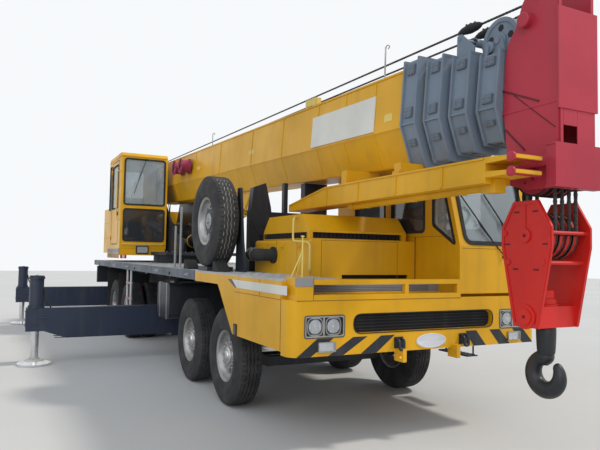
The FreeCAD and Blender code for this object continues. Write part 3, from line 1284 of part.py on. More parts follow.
def lift_cylinder():
    angle, length = lift_line()
    spot = (x_at(d.luff_base_back), 0, d.luff_base_high)
    tilt = Rotation(Vector(0, 1, 0), -angle)
    bore = d.barrel_bore
    start, end = d.barrel_start, d.barrel_length
    tube = rod("barrel_tube", "X", (0, 0), d.barrel_radius, start, end, WHEEL_SIDES)
    inside = rod("barrel_inside", "X", (0, 0), bore, start + 30, end - 120, WHEEL_SIDES)
    mouth = rod("barrel_mouth", "X", (0, 0), d.rod_radius + d.seat_gap, end - 125, end + 5, WHEEL_SIDES)
    eye = rod("barrel_eye", "Y", (0, 0), d.eye_radius, -d.eye_radius, d.eye_radius, WHEEL_SIDES)
    neck = box("barrel_neck", (0, start + 5), (-70, 70), (-70, 70))
    hole = rod("barrel_hole", "Y", (0, 0), d.luff_pin_radius + d.pin_play, -105, 105)
    barrel = cut("barrel_solid", fuse("barrel_parts", [tube, eye, neck]), [hole, inside, mouth])
    node("lift_barrel", place(group("barrel_all", [barrel]), *spot, tilt))
    piston = rod("piston", "X", (0, 0), bore - d.seat_gap, start + 35, start + 145, WHEEL_SIDES)
    shaft = rod("rod_shaft", "X", (0, 0), d.rod_radius, start + 140, length - 60, WHEEL_SIDES)
    rod_eye = rod("rod_eye", "Y", (length, 0), d.eye_radius, -d.eye_radius, d.eye_radius, WHEEL_SIDES)
    node("lift_rod", place(group("rod_all", [fuse("rod_parts", [piston, shaft, rod_eye])]), *spot, tilt))


def hook_block():
    middle = x_at(0) + d.head_reach - d.sheave_back_of_head
    outer = d.cheek_half
    inner = outer - d.cheek_plate
    half = d.block_half
    top = d.block_top
    low = d.block_low
    pin = d.block_pin_high
    outline = [
        (middle - 110, low), (middle + 110, low), (middle + half, pin - 80), (middle + half, pin + 60),
        (middle + 110, top), (middle - 110, top), (middle - half, pin + 60), (middle - half, pin - 80),
    ]
    cheek = prism("block_cheek", "XZ", outline, inner, outer, rounded=[(40, (2, 3, 6, 7))])
    parts = [
        *both_sides("block_cheek_other", cheek),
        rod("block_pin", "Y", (middle, pin), 45, -outer - 12, outer + 12, PIN_SIDES),
        box("crosshead", (middle - 95, middle + 95), (-inner - 1, inner + 1), (low, low + 150)),
        rod("crosshead_boss", "Y", (middle, low + 75), 62, -outer - 14, outer + 14, PIN_SIDES),
    ]
    for index, (shift, lift) in enumerate(((160, -190), (-160, -190), (190, 20), (-190, 20))):
        parts.append(rod(f"block_tie_{index}", "Y", (middle + shift, pin + lift), 14, -outer - 4, outer + 4, 6))
    line = d.sheave_radius + d.rope_radius + 0.4
    for index in range(4):
        y = (index - 1.5) * d.sheave_pitch
        parts.append(rod(f"block_sheave_{index}", "Y", (middle, pin), d.sheave_radius + 6, y - d.sheave_half,
                         y + d.sheave_half, WHEEL_SIDES))
        for side, shift in (("front", line), ("rear", -line)):
            parts.append(rod(f"fall_{side}_{index}", "Z", (middle + shift, y), d.rope_radius, pin, d.sheave_high, 6))
    bore = rod("shank_bore", "Z", (middle, 0), d.shank_radius + d.pin_play, low - 5, d.shank_top + 5)
    return node("hook_block", cut("hook_block_all", fuse("hook_block_solid", parts), [bore]))


HOOK_STATIONS = (
    # angle round the ring in degrees, thickness of the bar against its full radius
    (90, 0.95), (125, 0.95), (160, 1.0), (195, 1.06), (230, 1.1), (265, 1.12), (300, 1.06), (335, 0.92),
    (370, 0.66), (395, 0.4),
)


def hook():
    """A plain crane hook: a shank and a curved bar that thins towards its tip."""
    middle = x_at(0) + d.head_reach - d.sheave_back_of_head
    centre = d.hook_eye_high
    shank = rod("hook_shank", "Z", (middle, 0), d.shank_radius, centre + d.hook_ring, d.shank_top, PIN_SIDES)
    neck = rod("hook_neck", "Z", (middle, 0), d.shank_radius + 25, centre + d.hook_ring + 40, d.block_low - 4,
               PIN_SIDES)
    rings = []
    for angle, share in HOOK_STATIONS:
        turn = math.radians(angle)
        centre_point = (middle + d.hook_ring * math.cos(turn), 0, centre + d.hook_ring * math.sin(turn))
        rings.append(ring_points(d.hook_bar * share, SMALL_SIDES, centre_point, -angle))
    return node("hook", fuse("hook_all", [shank, neck, skin("hook_bar", rings)]))


def build():
    chassis_frame()
    outrigger_boxes()
    for end, back, step in OUTRIGGERS:
        for side, sign, _ in SIDES:
            outrigger(end, side, sign, back, step)
    wheels()
    axles()
    for axle, back, twin in AXLES:
        if not twin:
            for side, sign, _ in SIDES:
                knuckle(axle, back, side, sign)
    for piece in (bumper, side_skirts, deck, engine_hood, engine, intake_duct, cab_shell, cab_door, cab_interior,
                  boom_rest, lamps, turntable, winches, counterweight, op_cab, op_door, op_interior,
                  base_section):
        piece()
    for step in (1, 2, 3):
        inner_section(step)
    for piece in (boom_head, jib, lift_cylinder, hook_block, hook):
        piece()


def export():
    doc.recompute()
    for item in doc.Objects:
        if "Invalid" in item.State or "Error" in item.State:
            raise RuntimeError(f"{item.Name} failed: {item.State}")
    for item in NODES:
        if item.Shape.isNull() or not item.Shape.isValid() or not item.Shape.Solids:
            raise RuntimeError(f"{item.Label} has no valid shape")
    os.makedirs("parts", exist_ok=True)
    for item in NODES:
        item.Shape.exportStep(f"parts/{item.Label}.step")
        bounds = item.Shape.BoundBox
        print(f"{item.Label}: {len(item.Shape.Solids)} solids, {item.Shape.Volume / 1e9:.4f} m3, "
              f"x {bounds.XMin:.0f} {bounds.XMax:.0f} y {bounds.YMin:.0f} {bounds.YMax:.0f} "
              f"z {bounds.ZMin:.0f} {bounds.ZMax:.0f}")


build()
export()
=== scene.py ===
"""Looks for the four-axle truck crane: its paint, glass, tyres, lamps and small fittings."""
import json
import math

import bmesh
import bpy
from mathutils import Matrix, Vector


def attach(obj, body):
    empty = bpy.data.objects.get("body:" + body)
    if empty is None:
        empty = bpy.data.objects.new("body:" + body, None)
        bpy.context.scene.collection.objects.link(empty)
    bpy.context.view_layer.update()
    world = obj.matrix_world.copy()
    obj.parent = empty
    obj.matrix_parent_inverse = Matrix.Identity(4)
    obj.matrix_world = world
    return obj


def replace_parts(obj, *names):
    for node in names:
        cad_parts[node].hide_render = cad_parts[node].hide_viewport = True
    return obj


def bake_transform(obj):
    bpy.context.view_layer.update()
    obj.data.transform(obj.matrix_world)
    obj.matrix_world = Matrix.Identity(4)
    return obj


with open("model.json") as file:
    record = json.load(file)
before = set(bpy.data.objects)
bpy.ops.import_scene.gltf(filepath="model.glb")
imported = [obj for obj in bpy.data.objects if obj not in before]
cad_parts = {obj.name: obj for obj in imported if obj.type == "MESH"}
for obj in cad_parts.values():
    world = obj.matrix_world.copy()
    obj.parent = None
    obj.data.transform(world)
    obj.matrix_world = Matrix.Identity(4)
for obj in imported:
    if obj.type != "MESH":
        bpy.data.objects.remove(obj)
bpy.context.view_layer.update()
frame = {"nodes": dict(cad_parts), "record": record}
nodes = frame["nodes"]

# Materials

def new_material(name, colour, roughness, metallic=0.0):
    material = bpy.data.materials.new(name)
    material.use_nodes = True
    shader = material.node_tree.nodes["Principled BSDF"]
    shader.inputs["Base Color"].default_value = (*colour, 1)
    shader.inputs["Roughness"].default_value = roughness
    shader.inputs["Metallic"].default_value = metallic
    return material, material.node_tree, shader


def noise(tree, scale, detail=4.0, stretch=(1, 1, 1)):
    """A noise pattern fixed to the piece; stretch draws it out along an axis."""
    place = tree.nodes.new("ShaderNodeTexCoord")
    mapping = tree.nodes.new("ShaderNodeMapping")
    mapping.inputs["Scale"].default_value = stretch
    texture = tree.nodes.new("ShaderNodeTexNoise")
    texture.inputs["Scale"].default_value = scale
    texture.inputs["Detail"].default_value = detail
    tree.links.new(place.outputs["Object"], mapping.inputs["Vector"])
    tree.links.new(mapping.outputs["Vector"], texture.inputs["Vector"])
    return texture.outputs["Fac"]


def ramp(tree, value, stops):
    node = tree.nodes.new("ShaderNodeValToRGB")
    element = node.color_ramp.elements
    for index, (place, colour) in enumerate(stops):
        spot = element[index] if index < 2 else element.new(place)
        spot.position = place
        spot.color = (*colour, 1) if len(colour) == 3 else colour
    tree.links.new(value, node.inputs["Fac"])
    return node.outputs["Color"]


def bump(tree, shader, height, strength, distance):
    node = tree.nodes.new("ShaderNodeBump")
    node.inputs["Strength"].default_value = strength
    node.inputs["Distance"].default_value = distance
    tree.links.new(height, node.inputs["Height"])
    tree.links.new(node.outputs["Normal"], shader.inputs["Normal"])


def mixed(tree, factor, first, second):
    """One colour over another by a factor between nought and one."""
    node = tree.nodes.new("ShaderNodeMix")
    node.data_type = "RGBA"
    tree.links.new(factor, node.inputs["Factor"])
    for socket, value in ((node.inputs[6], first), (node.inputs[7], second)):
        if isinstance(value, tuple):
            socket.default_value = (*value, 1)
        else:
            tree.links.new(value, socket)
    return node.outputs[2]


def grey(value):
    return (value, value, value)


def shade(colour, amount):
    return tuple(min(1, channel * amount) for channel in colour)


def paint(name, colour, roughness=0.38, grime=(0.10, 0.08, 0.06), wear=0.5, coat=0.08):
    """Sprayed enamel: a little uneven, streaked downwards and dulled by dust."""
    material, tree, shader = new_material(name, colour, roughness)
    broad = noise(tree, 1.3, 5)
    streaks = noise(tree, 2.2, 6, stretch=(3.2, 3.2, 0.35))
    tone = ramp(tree, broad, [(0.30, shade(colour, 0.80)), (0.62, colour), (0.85, shade(colour, 1.10))])
    mask = ramp(tree, streaks, [(0.52, grey(0)), (0.80, grey(wear))])
    tree.links.new(mixed(tree, mask, tone, grime), shader.inputs["Base Color"])
    gloss = ramp(tree, broad, [(0.25, grey(roughness * 1.35)), (0.75, grey(roughness * 0.8))])
    tree.links.new(gloss, shader.inputs["Roughness"])
    shader.inputs["Specular IOR Level"].default_value = 0.32
    shader.inputs["Coat Weight"].default_value = coat
    shader.inputs["Coat Roughness"].default_value = 0.22
    bump(tree, shader, noise(tree, 60, 3), 0.06, 0.01)
    return material


def rubber(name, colour=(0.024, 0.024, 0.026), dust=(0.105, 0.10, 0.095), dusty=0.5):
    material, tree, shader = new_material(name, colour, 0.82)
    patch = noise(tree, 6, 6)
    fine = noise(tree, 140, 4)
    mask = ramp(tree, patch, [(0.42, grey(0.05)), (0.78, grey(dusty))])
    tree.links.new(mixed(tree, mask, colour, dust), shader.inputs["Base Color"])
    shader.inputs["Specular IOR Level"].default_value = 0.35
    bump(tree, shader, fine, 0.35, 0.003)
    return material


def metal(name, colour, roughness, rust=0.0, bumpiness=0.05):
    material, tree, shader = new_material(name, colour, roughness, 0.95)
    patch = noise(tree, 9, 6)
    tone = ramp(tree, patch, [(0.3, shade(colour, 0.75)), (0.7, colour)])
    if rust:
        mask = ramp(tree, noise(tree, 4, 8), [(0.50, grey(0)), (0.75, grey(rust))])
        tone = mixed(tree, mask, tone, (0.15, 0.07, 0.035))
    tree.links.new(tone, shader.inputs["Base Color"])
    gloss = ramp(tree, patch, [(0.3, grey(min(1, roughness * 1.5))), (0.7, grey(roughness))])
    tree.links.new(gloss, shader.inputs["Roughness"])
    bump(tree, shader, noise(tree, 180, 3), bumpiness, 0.004)
    return material


def glass(name, colour=(0.32, 0.40, 0.44), alpha=0.45, roughness=0.04):
    """Window glass that shows what is behind it, tinted, with lighter upright streaks in its colour."""
    material, tree, shader = new_material(name, colour, roughness)
    shader.inputs["Alpha"].default_value = alpha
    shader.inputs["Specular IOR Level"].default_value = 0.9
    shader.inputs["Coat Weight"].default_value = 0.6
    shader.inputs["Coat Roughness"].default_value = 0.03
    mask = ramp(tree, noise(tree, 3, 5, stretch=(1, 1, 0.4)), [(0.35, colour), (0.8, shade(colour, 1.5))])
    tree.links.new(mask, shader.inputs["Base Color"])
    material.blend_method = "BLEND"
    return material


YELLOW = (0.78, 0.405, 0.006)
yellow = paint("yellow_enamel", YELLOW, wear=0.26, grime=(0.30, 0.17, 0.03))
red = paint("red_enamel", (0.66, 0.020, 0.014), 0.40, wear=0.25, grime=(0.22, 0.03, 0.025))
head_red = paint("head_enamel", (0.46, 0.030, 0.055), 0.45, wear=0.25, grime=(0.20, 0.05, 0.05))
blue_grey = paint("grey_enamel", (0.20, 0.25, 0.315), 0.50, wear=0.35, grime=(0.10, 0.11, 0.12))
black = paint("black_enamel", (0.022, 0.026, 0.034), 0.45, wear=0.35, grime=(0.09, 0.085, 0.075), coat=0.1)
navy = paint("navy_enamel", (0.022, 0.032, 0.060), 0.42, wear=0.35, grime=(0.10, 0.095, 0.09), coat=0.15)
deck_paint = paint("deck_enamel", (0.50, 0.51, 0.51), 0.70, wear=0.5, grime=(0.22, 0.20, 0.18), coat=0.0)
silver = paint("silver_enamel", (0.42, 0.42, 0.41), 0.45, wear=0.5, grime=(0.16, 0.13, 0.10), coat=0.1)
white = paint("white_enamel", (0.66, 0.68, 0.72), 0.45, wear=0.12, grime=(0.45, 0.45, 0.43))
tyre_rubber = rubber("tyre_rubber")
soft_rubber = rubber("seal_rubber", (0.018, 0.018, 0.018), dusty=0.2)
chrome = metal("chrome", (0.75, 0.76, 0.78), 0.12)
steel = metal("steel", (0.42, 0.42, 0.43), 0.38, rust=0.3)
rope_steel = metal("rope_steel", (0.10, 0.10, 0.10), 0.55, bumpiness=0.5)
iron = metal("cast_iron", (0.10, 0.095, 0.09), 0.65, rust=0.4, bumpiness=0.4)
plastic = rubber("dark_plastic", (0.035, 0.035, 0.038), dust=(0.10, 0.10, 0.10), dusty=0.25)
screen_glass = glass("screen_glass")
dark_glass = glass("dark_glass", (0.03, 0.035, 0.04), 0.82)
lens = glass("lamp_lens", (0.60, 0.64, 0.66), 0.16, 0.06)
mirror = metal("mirror_face", (0.80, 0.82, 0.84), 0.08, bumpiness=0.0)
reflector = metal("reflector", (0.72, 0.74, 0.77), 0.16, bumpiness=0.0)
bezel_chrome = metal("bezel_chrome", (0.50, 0.50, 0.48), 0.28, bumpiness=0.0)
wheel_paint = metal("wheel_silver", (0.40, 0.40, 0.40), 0.42, rust=0.6, bumpiness=0.15)
hub_paint = metal("hub_silver", (0.66, 0.66, 0.65), 0.30, rust=0.35, bumpiness=0.1)
groove_dust = rubber("groove_dust", (0.50, 0.48, 0.44), dust=(0.16, 0.15, 0.14), dusty=0.6)
rust_brown = paint("rust_line", (0.20, 0.055, 0.018), 0.70, wear=0.5, coat=0.0)
lamp_grey = paint("lamp_case_grey", (0.30, 0.31, 0.32), 0.50, wear=0.25, grime=(0.18, 0.17, 0.16), coat=0.1)
pad_grey = paint("pad_plate_grey", (0.145, 0.175, 0.215), 0.50, wear=0.5, grime=(0.07, 0.07, 0.075))
soft_black = paint("matt_black", (0.018, 0.018, 0.020), 0.60, wear=0.3, grime=(0.09, 0.085, 0.08), coat=0.0)
pale_yellow = paint("pale_yellow", (0.80, 0.62, 0.16), 0.45, wear=0.2, grime=(0.36, 0.28, 0.12))
dark_yellow = paint("seam_yellow", (0.30, 0.15, 0.012), 0.60, wear=0.3, coat=0.0)
sign_white = paint("plate_white", (0.74, 0.73, 0.66), 0.42, wear=0.12, grime=(0.50, 0.46, 0.36))
sign_grey = paint("plate_grey", (0.10, 0.12, 0.15), 0.45, wear=0.2)
pale_steel = paint("pale_steel", (0.62, 0.63, 0.62), 0.42, wear=0.35, grime=(0.28, 0.26, 0.24))
# Dark red: the own colour of the head's nut heads, and painted shade on the head's crease lines and the hook block's
# slot marks.
dark_red_and_shade = paint("dark_red_and_shade", (0.13, 0.012, 0.020), 0.60, wear=0.3, coat=0.0)
edge_grey = paint("edge_grey", (0.085, 0.105, 0.135), 0.50, wear=0.5, grime=(0.16, 0.16, 0.16))
reel_red = paint("reel_enamel", (0.40, 0.035, 0.095), 0.50, wear=0.5, grime=(0.12, 0.08, 0.06))
seat_cloth = rubber("seat_cloth", (0.045, 0.047, 0.052), dust=(0.09, 0.09, 0.09), dusty=0.3)
amber = glass("amber_lens", (0.85, 0.30, 0.02), 0.9, 0.12)
lamp_dark = paint("lamp_shade", (0.09, 0.10, 0.11), 0.45)
lens_red = glass("red_lens", (0.50, 0.02, 0.02), 0.9, 0.12)
lamp_face = glass("lamp_face", (0.40, 0.43, 0.45), 0.75, 0.10)
hook_black = paint("hook_black", (0.020, 0.022, 0.026), 0.42, wear=0.4, grime=(0.10, 0.06, 0.04), coat=0.1)

BY_SLOT = {
    "yellow": yellow, "red": red, "grey_blue": blue_grey, "black": black, "navy": navy, "deck_grey": deck_paint,
    "silver": silver, "chrome": chrome, "steel": steel, "iron": iron, "tyre": tyre_rubber, "rubber": soft_rubber,
    "dark_plastic": plastic, "lamp": reflector,
}
slot_of = {part["node"]: part["material_slot"] for part in frame["record"]["subparts"]}
for name, item in nodes.items():
    material = BY_SLOT[slot_of[name]]
    if name == "boom_head":
        material = head_red
    if name == "hook":
        material = hook_black
    item.data.materials.clear()
    item.data.materials.append(material)


# Drawing of pieces, in millimetres

MM = 0.001


def turns(count, start=0.0):
    return [start + 2 * math.pi * index / count for index in range(count)]


class Piece:
    """Faces drawn in the frame, or in a place of their own, that end up as one object."""

    def __init__(self, place=None):
        self.mesh = bmesh.new()
        self.place = place or Matrix()

    def add(self, points, faces):
        spots = [self.mesh.verts.new(self.place @ (Vector(point) * MM)) for point in points]
        for face in faces:
            self.mesh.faces.new([spots[index] for index in face])

    def box(self, x, y, z):
        points = [(a, b, c) for a in x for b in y for c in z]
        self.add(points, [(0, 1, 3, 2), (4, 6, 7, 5), (0, 4, 5, 1), (2, 3, 7, 6), (0, 2, 6, 4), (1, 5, 7, 3)])
        return self

    def prism(self, plane, outline, low, high):
        """An outline in a plane such as XZ, drawn out from low to high across it."""
        first, second = ("XYZ".index(letter) for letter in plane)
        across = 3 - first - second
        points = []
        for level in (low, high):
            for spot in outline:
                point = [0, 0, 0]
                point[first], point[second], point[across] = spot[0], spot[1], level
                points.append(point)
        count = len(outline)
        sides = [(i, (i + 1) % count, count + (i + 1) % count, count + i) for i in range(count)]
        self.add(points, [tuple(range(count)), tuple(range(2 * count - 1, count - 1, -1)), *sides])
        return self

    def tube(self, rings, closed=False):
        """Rings of points joined in turn, with flat ends unless the last meets the first."""
        sides = len(rings[0])
        points = [point for ring in rings for point in ring]
        faces = []
        for index in range(len(rings) if closed else len(rings) - 1):
            after = (index + 1) % len(rings)
            for i in range(sides):
                j = (i + 1) % sides
                faces.append((index * sides + i, index * sides + j, after * sides + j, after * sides + i))
        if not closed:
            faces += [tuple(range(sides - 1, -1, -1)), tuple(len(points) - sides + i for i in range(sides))]
        self.add(points, faces)
        return self

    def rod(self, start, end, radius, sides=16, end_radius=None):
        start, end = Vector(start), Vector(end)
        side = (end - start).orthogonal().normalized()
        other = (end - start).normalized().cross(side)
        radii = (radius, radius if end_radius is None else end_radius)
        return self.tube([[spot + (side * math.cos(a) + other * math.sin(a)) * size for a in turns(sides)]
                          for spot, size in zip((start, end), radii)])

    def pipe(self, route, radius, bend=40, sides=10, closed=False):
        """A round bar along a route whose corners are rounded."""
        spots = [Vector(point) for point in route]
        count = len(spots)
        path = []
        for index, spot in enumerate(spots):
            if not closed and index in (0, count - 1):
                path.append(spot)
                continue
            before, after = spots[index - 1], spots[(index + 1) % count]
            reach = min(bend, (before - spot).length * 0.45, (after - spot).length * 0.45)
            first = spot + (before - spot).normalized() * reach
            last = spot + (after - spot).normalized() * reach
            for step in range(5):
                t = step / 4
                path.append(first * (1 - t) ** 2 + spot * 2 * t * (1 - t) + last * t * t)
        rings = []
        side = None
        for index, spot in enumerate(path):
            if closed:
                ahead = path[(index + 1) % len(path)] - path[index - 1]
            else:
                ahead = path[min(index + 1, len(path) - 1)] - path[max(index - 1, 0)]
            ahead.normalize()
            side = ahead.orthogonal() if side is None else side - ahead * side.dot(ahead)
            side.normalize()
            other = ahead.cross(side)
            rings.append([spot + (side * math.cos(a) + other * math.sin(a)) * radius for a in turns(sides)])
        return self.tube(rings, closed)

    def lathe(self, profile, centre=(0, 0, 0), axis="Z", sides=32, closed=False):
        """A profile of (place along the axis, radius), turned round it."""
        along = "XYZ".index(axis)
        first, second = [i for i in range(3) if i != along]
        rings = []
        for spot, radius in profile:
            ring = []
            for angle in turns(sides):
                point = list(centre)
                point[along] += spot
                point[first] += radius * math.cos(angle)
                point[second] += radius * math.sin(angle)
                ring.append(point)
            rings.append(ring)
        return self.tube(rings, closed)

    def bolts(self, spots, outwards, radius=12, height=9, washer=0):
        """Hexagonal bolt heads that stand on their places along the outward direction."""
        out = Vector(outwards).normalized()
        for spot in spots:
            base = Vector(spot)
            if washer:
                self.rod(base, base + out * 2, washer, 16)
            self.rod(base, base + out * height, radius, 6, radius * 0.93)
        return self

    def slab(self, corners, outwards, thick):
        """A flat sheet on four or more corners, thickened along the outward direction."""
        out = Vector(outwards) * thick
        near = [Vector(corner) for corner in corners]
        count = len(near)
        sides = [(i, (i + 1) % count, count + (i + 1) % count, count + i) for i in range(count)]
        self.add(near + [corner + out for corner in near],
                 [tuple(range(count)), tuple(range(2 * count - 1, count - 1, -1)), *sides])
        return self

    def frame(self, plane, outline, width, low, high):
        """A closed strip inside an outline, such as a window's seal."""
        inner = drawn_in(outline, width)
        first, second = ("XYZ".index(letter) for letter in plane)
        across = 3 - first - second
        count = len(outline)
        points = []
        for level in (low, high):
            for ring in (outline, inner):
                for spot in ring:
                    point = [0, 0, 0]
                    point[first], point[second], point[across] = spot[0], spot[1], level
                    points.append(point)
        faces = []
        for i in range(count):
            j = (i + 1) % count
            faces += [(i, j, count + j, count + i), (2 * count + j, 2 * count + i, 3 * count + i, 3 * count + j),
                      (i, 2 * count + i, 2 * count + j, j), (count + j, 3 * count + j, 3 * count + i, count + i)]
        self.add(points, faces)
        return self

    def done(self, name, body, material, bevel=0.0, segments=2):
        mesh = self.mesh
        bmesh.ops.recalc_face_normals(mesh, faces=mesh.faces)
        if bevel:
            sharp = [edge for edge in mesh.edges
                     if len(edge.link_faces) == 2 and edge.calc_face_angle() > math.radians(40)]
            bmesh.ops.bevel(mesh, geom=sharp, offset=bevel * MM, segments=segments, affect="EDGES",
                            clamp_overlap=True)
        data = bpy.data.meshes.new(name)
        mesh.to_mesh(data)
        mesh.free()
        return put(name, data, body, material)


def put(name, data, body, material, place=None):
    """One object of a mesh, riding on a body unless that is None."""
    if not data.materials:
        data.materials.append(material)
    data.polygons.foreach_set("use_smooth", [True] * len(data.polygons))
    data.set_sharp_from_angle(angle=math.radians(32))
    item = bpy.data.objects.new(name, data)
    if place:
        item.matrix_world = place
    bpy.context.scene.collection.objects.link(item)
    if body:
        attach(item, body)
    return item


def drawn_in(outline, width):
    """An outline moved inwards by a width."""
    count = len(outline)
    area = sum(outline[i][0] * outline[(i + 1) % count][1] - outline[(i + 1) % count][0] * outline[i][1]
               for i in range(count))
    sign = 1 if area > 0 else -1
    moved = []
    for i, spot in enumerate(outline):
        before = Vector(spot) - Vector(outline[i - 1])
        after = Vector(outline[(i + 1) % count]) - Vector(spot)
        first = Vector((-before.y, before.x)).normalized() * sign
        second = Vector((-after.y, after.x)).normalized() * sign
        lean = (first + second).normalized()
        moved.append(Vector(spot) + lean * (width / max(0.3, lean.dot(first))))
    return [tuple(spot) for spot in moved]


def rounded(outline, radius, steps=4):
    """An outline whose corners are rounded."""
    count = len(outline)
    spots = []
    for i, spot in enumerate(outline):
        corner = Vector(spot)
        before = Vector(outline[i - 1]) - corner
        after = Vector(outline[(i + 1) % count]) - corner
        reach = min(radius, before.length * 0.49, after.length * 0.49)
        first = corner + before.normalized() * reach
        last = corner + after.normalized() * reach
        for step in range(steps + 1):
            t = step / steps
            spots.append(tuple(first * (1 - t) ** 2 + corner * 2 * t * (1 - t) + last * t * t))
    return spots


def oblong(x_low, x_high, z_low, z_high, radius=45):
    return rounded([(x_low, z_low), (x_high, z_low), (x_high, z_high), (x_low, z_high)], radius)


def carved(data, cutters):
    """A mesh with other closed meshes cut out of it."""
    base = bpy.data.objects.new("carve_base", data)
    tool = bpy.data.objects.new("carve_tool", cutters)
    for item in (base, tool):
        bpy.context.scene.collection.objects.link(item)
    change = base.modifiers.new("cut", "BOOLEAN")
    change.operation = "DIFFERENCE"
    change.solver = "EXACT"
    change.object = tool
    result = bpy.data.meshes.new_from_object(base.evaluated_get(bpy.context.evaluated_depsgraph_get()))
    bpy.data.objects.remove(base)
    bpy.data.objects.remove(tool)
    return result


def mesh_of(piece, name):
    bmesh.ops.recalc_face_normals(piece.mesh, faces=piece.mesh.faces)
    data = bpy.data.meshes.new(name)
    piece.mesh.to_mesh(data)
    piece.mesh.free()
    return data


BUMPER = 4790
SIDES = (("r", -1), ("l", 1))


def at(back):
    """The X in millimetres of a place behind the bumper's face."""
    return BUMPER - back


# Wheels

TYRE_HALF = 147
WHEEL_RADIUS = 540
OUTWARD = {"r": Matrix.Rotation(math.pi / 2, 4, "X"), "l": Matrix.Rotation(-math.pi / 2, 4, "X")}
AXLES = ((1, 2000, False), (2, 3400, False), (3, 7750, True), (4, 9100, True))
WHEEL_PLANE = 1130
TWIN_PLANE = 800
SIDEWALL = (
    # place across, radius
    (-92, 262), (-101, 266), (-112, 284), (-122, 300), (-129, 306), (-136, 330), (-144, 364), (-147, 392),
    (-146, 424), (-143, 430), (-143, 440), (-139, 462), (-133, 486), (-125, 505), (-117, 517), (-110, 524),
)
RIB_STEPS = 80


def tread_rib(piece, low, high, sway, notch=0):
    """One rib of the tread round the tyre, with zigzag edges and, on the shoulders, notches."""
    floor, top = 523.5, WHEEL_RADIUS - 0.3
    rings = []
    for index, angle in enumerate(turns(RIB_STEPS)):
        shift = sway * (1 if index % 2 else -1)
        deep = top - notch if index % 4 == 0 else top
        ring = []
        for place, radius in ((low + shift, floor), (low + shift + 1.5, deep), (high + shift - 1.5, deep),
                              (high + shift, floor)):
            ring.append((radius * math.cos(angle), radius * math.sin(angle), place))
        rings.append(ring)
    piece.tube(rings, closed=True)


def tyre_mesh():
    piece = Piece()
    other = [(-place, radius) for place, radius in reversed(SIDEWALL)]
    piece.lathe([*SIDEWALL, *other, (84, 259.5), (-84, 259.5)], sides=96, closed=True)
    for low, high, sway in ((-58, -24, 6), (-17, 17, 6), (24, 58, 6)):
        tread_rib(piece, low, high, sway)
    for sign in (-1, 1):
        for index, angle in enumerate(turns(64)):
            half = math.pi / 64 - 0.006
            block = []
            for turn in (angle - half, angle + half):
                for place, radius in ((63, 523), (64, 539.6), (88, 539), (108, 534), (117, 520), (110, 515)):
                    shift = 3 * (1 if index % 2 else -1) if place < 70 else 0
                    block.append((radius * math.cos(turn), radius * math.sin(turn), sign * (place + shift)))
            faces = [(0, 1, 2, 3, 4, 5), (11, 10, 9, 8, 7, 6)]
            faces += [(i, (i + 1) % 6, 6 + (i + 1) % 6, 6 + i) for i in range(6)]
            piece.add(block, faces)
    return mesh_of(piece, "tyre_form")


def rim_lip(sign, reach=115):
    """The flange of a rim from its bead seat round the lip to the inside."""
    return [(sign * (reach - 16), 258), (sign * (reach - 9), 266), (sign * (reach - 7), 281), (sign * (reach - 3), 287),
            (sign * reach, 286), (sign * (reach - 1), 278), (sign * (reach - 6), 268), (sign * (reach - 12), 254)]


def ring_spots(radius, count, height, start=0.0):
    return [(radius * math.cos(angle), radius * math.sin(angle), height) for angle in turns(count, start)]


def front_rim_mesh(open_centre):
    piece = Piece()
    outer = rim_lip(1)
    inner = list(reversed(rim_lip(-1)))
    centre = 105 if open_centre else 60
    profile = [*outer, (84, 246), (70, 240), (58, 226), (50, 212), (48, 196), (50, 178), (52, 130), (52, centre),
               (20, centre), (20, 190), (16, 204), (-4, 226), (-40, 238), (-94, 246), *inner]
    piece.lathe(profile, sides=64, closed=True)
    base = mesh_of(piece, "rim_base")
    holes = Piece()
    for x, y, _ in ring_spots(178, 10, 0, math.pi / 10):
        holes.rod((x, y, -10), (x, y, 90), 21, 20)
    return carved(base, mesh_of(holes, "rim_holes"))


def twin_rim_mesh():
    """Both rims of a pair with the disc between them; places run from the machine's centre line."""
    far, near = WHEEL_PLANE, TWIN_PLANE
    piece = Piece()
    outer = [(far + place, radius) for place, radius in rim_lip(1)]
    inner = [(near + place, radius) for place, radius in reversed(rim_lip(-1))]
    middle = (near + far) / 2
    profile = [*outer, (far + 84, 246), (far + 20, 240), (middle + 60, 226), (middle + 28, 205), (middle + 22, 180),
               (middle + 20, 110), (middle - 20, 110), (middle - 22, 180), (middle - 28, 205), (middle - 60, 226),
               (near - 20, 240), (near - 84, 246), *inner]
    piece.lathe(profile, sides=64, closed=True)
    base = mesh_of(piece, "twin_base")
    holes = Piece()
    for x, y, _ in ring_spots(172, 10, 0, math.pi / 10):
        holes.rod((x, y, middle - 70), (x, y, middle + 70), 20, 20)
    return carved(base, mesh_of(holes, "twin_holes"))


def front_hub_mesh():
    piece = Piece()
    piece.lathe([(-88, 45.5), (-88, 104), (50, 108), (60, 108), (64, 100), (84, 96), (92, 88), (96, 62), (104, 58),
                 (111, 44), (111, 0.5), (66, 0.5), (66, 45.5)], sides=40, closed=True)
    piece.bolts(ring_spots(138, 10, 50), (0, 0, 1), 20, 32, 25)
    piece.bolts(ring_spots(78, 8, 88, 0.2), (0, 0, 1), 8, 7)
    for x, y, z in ring_spots(138, 10, 70):
        piece.rod((x, y, z), (x, y, z + 26), 10, 10)
    return mesh_of(piece, "front_hub_form")


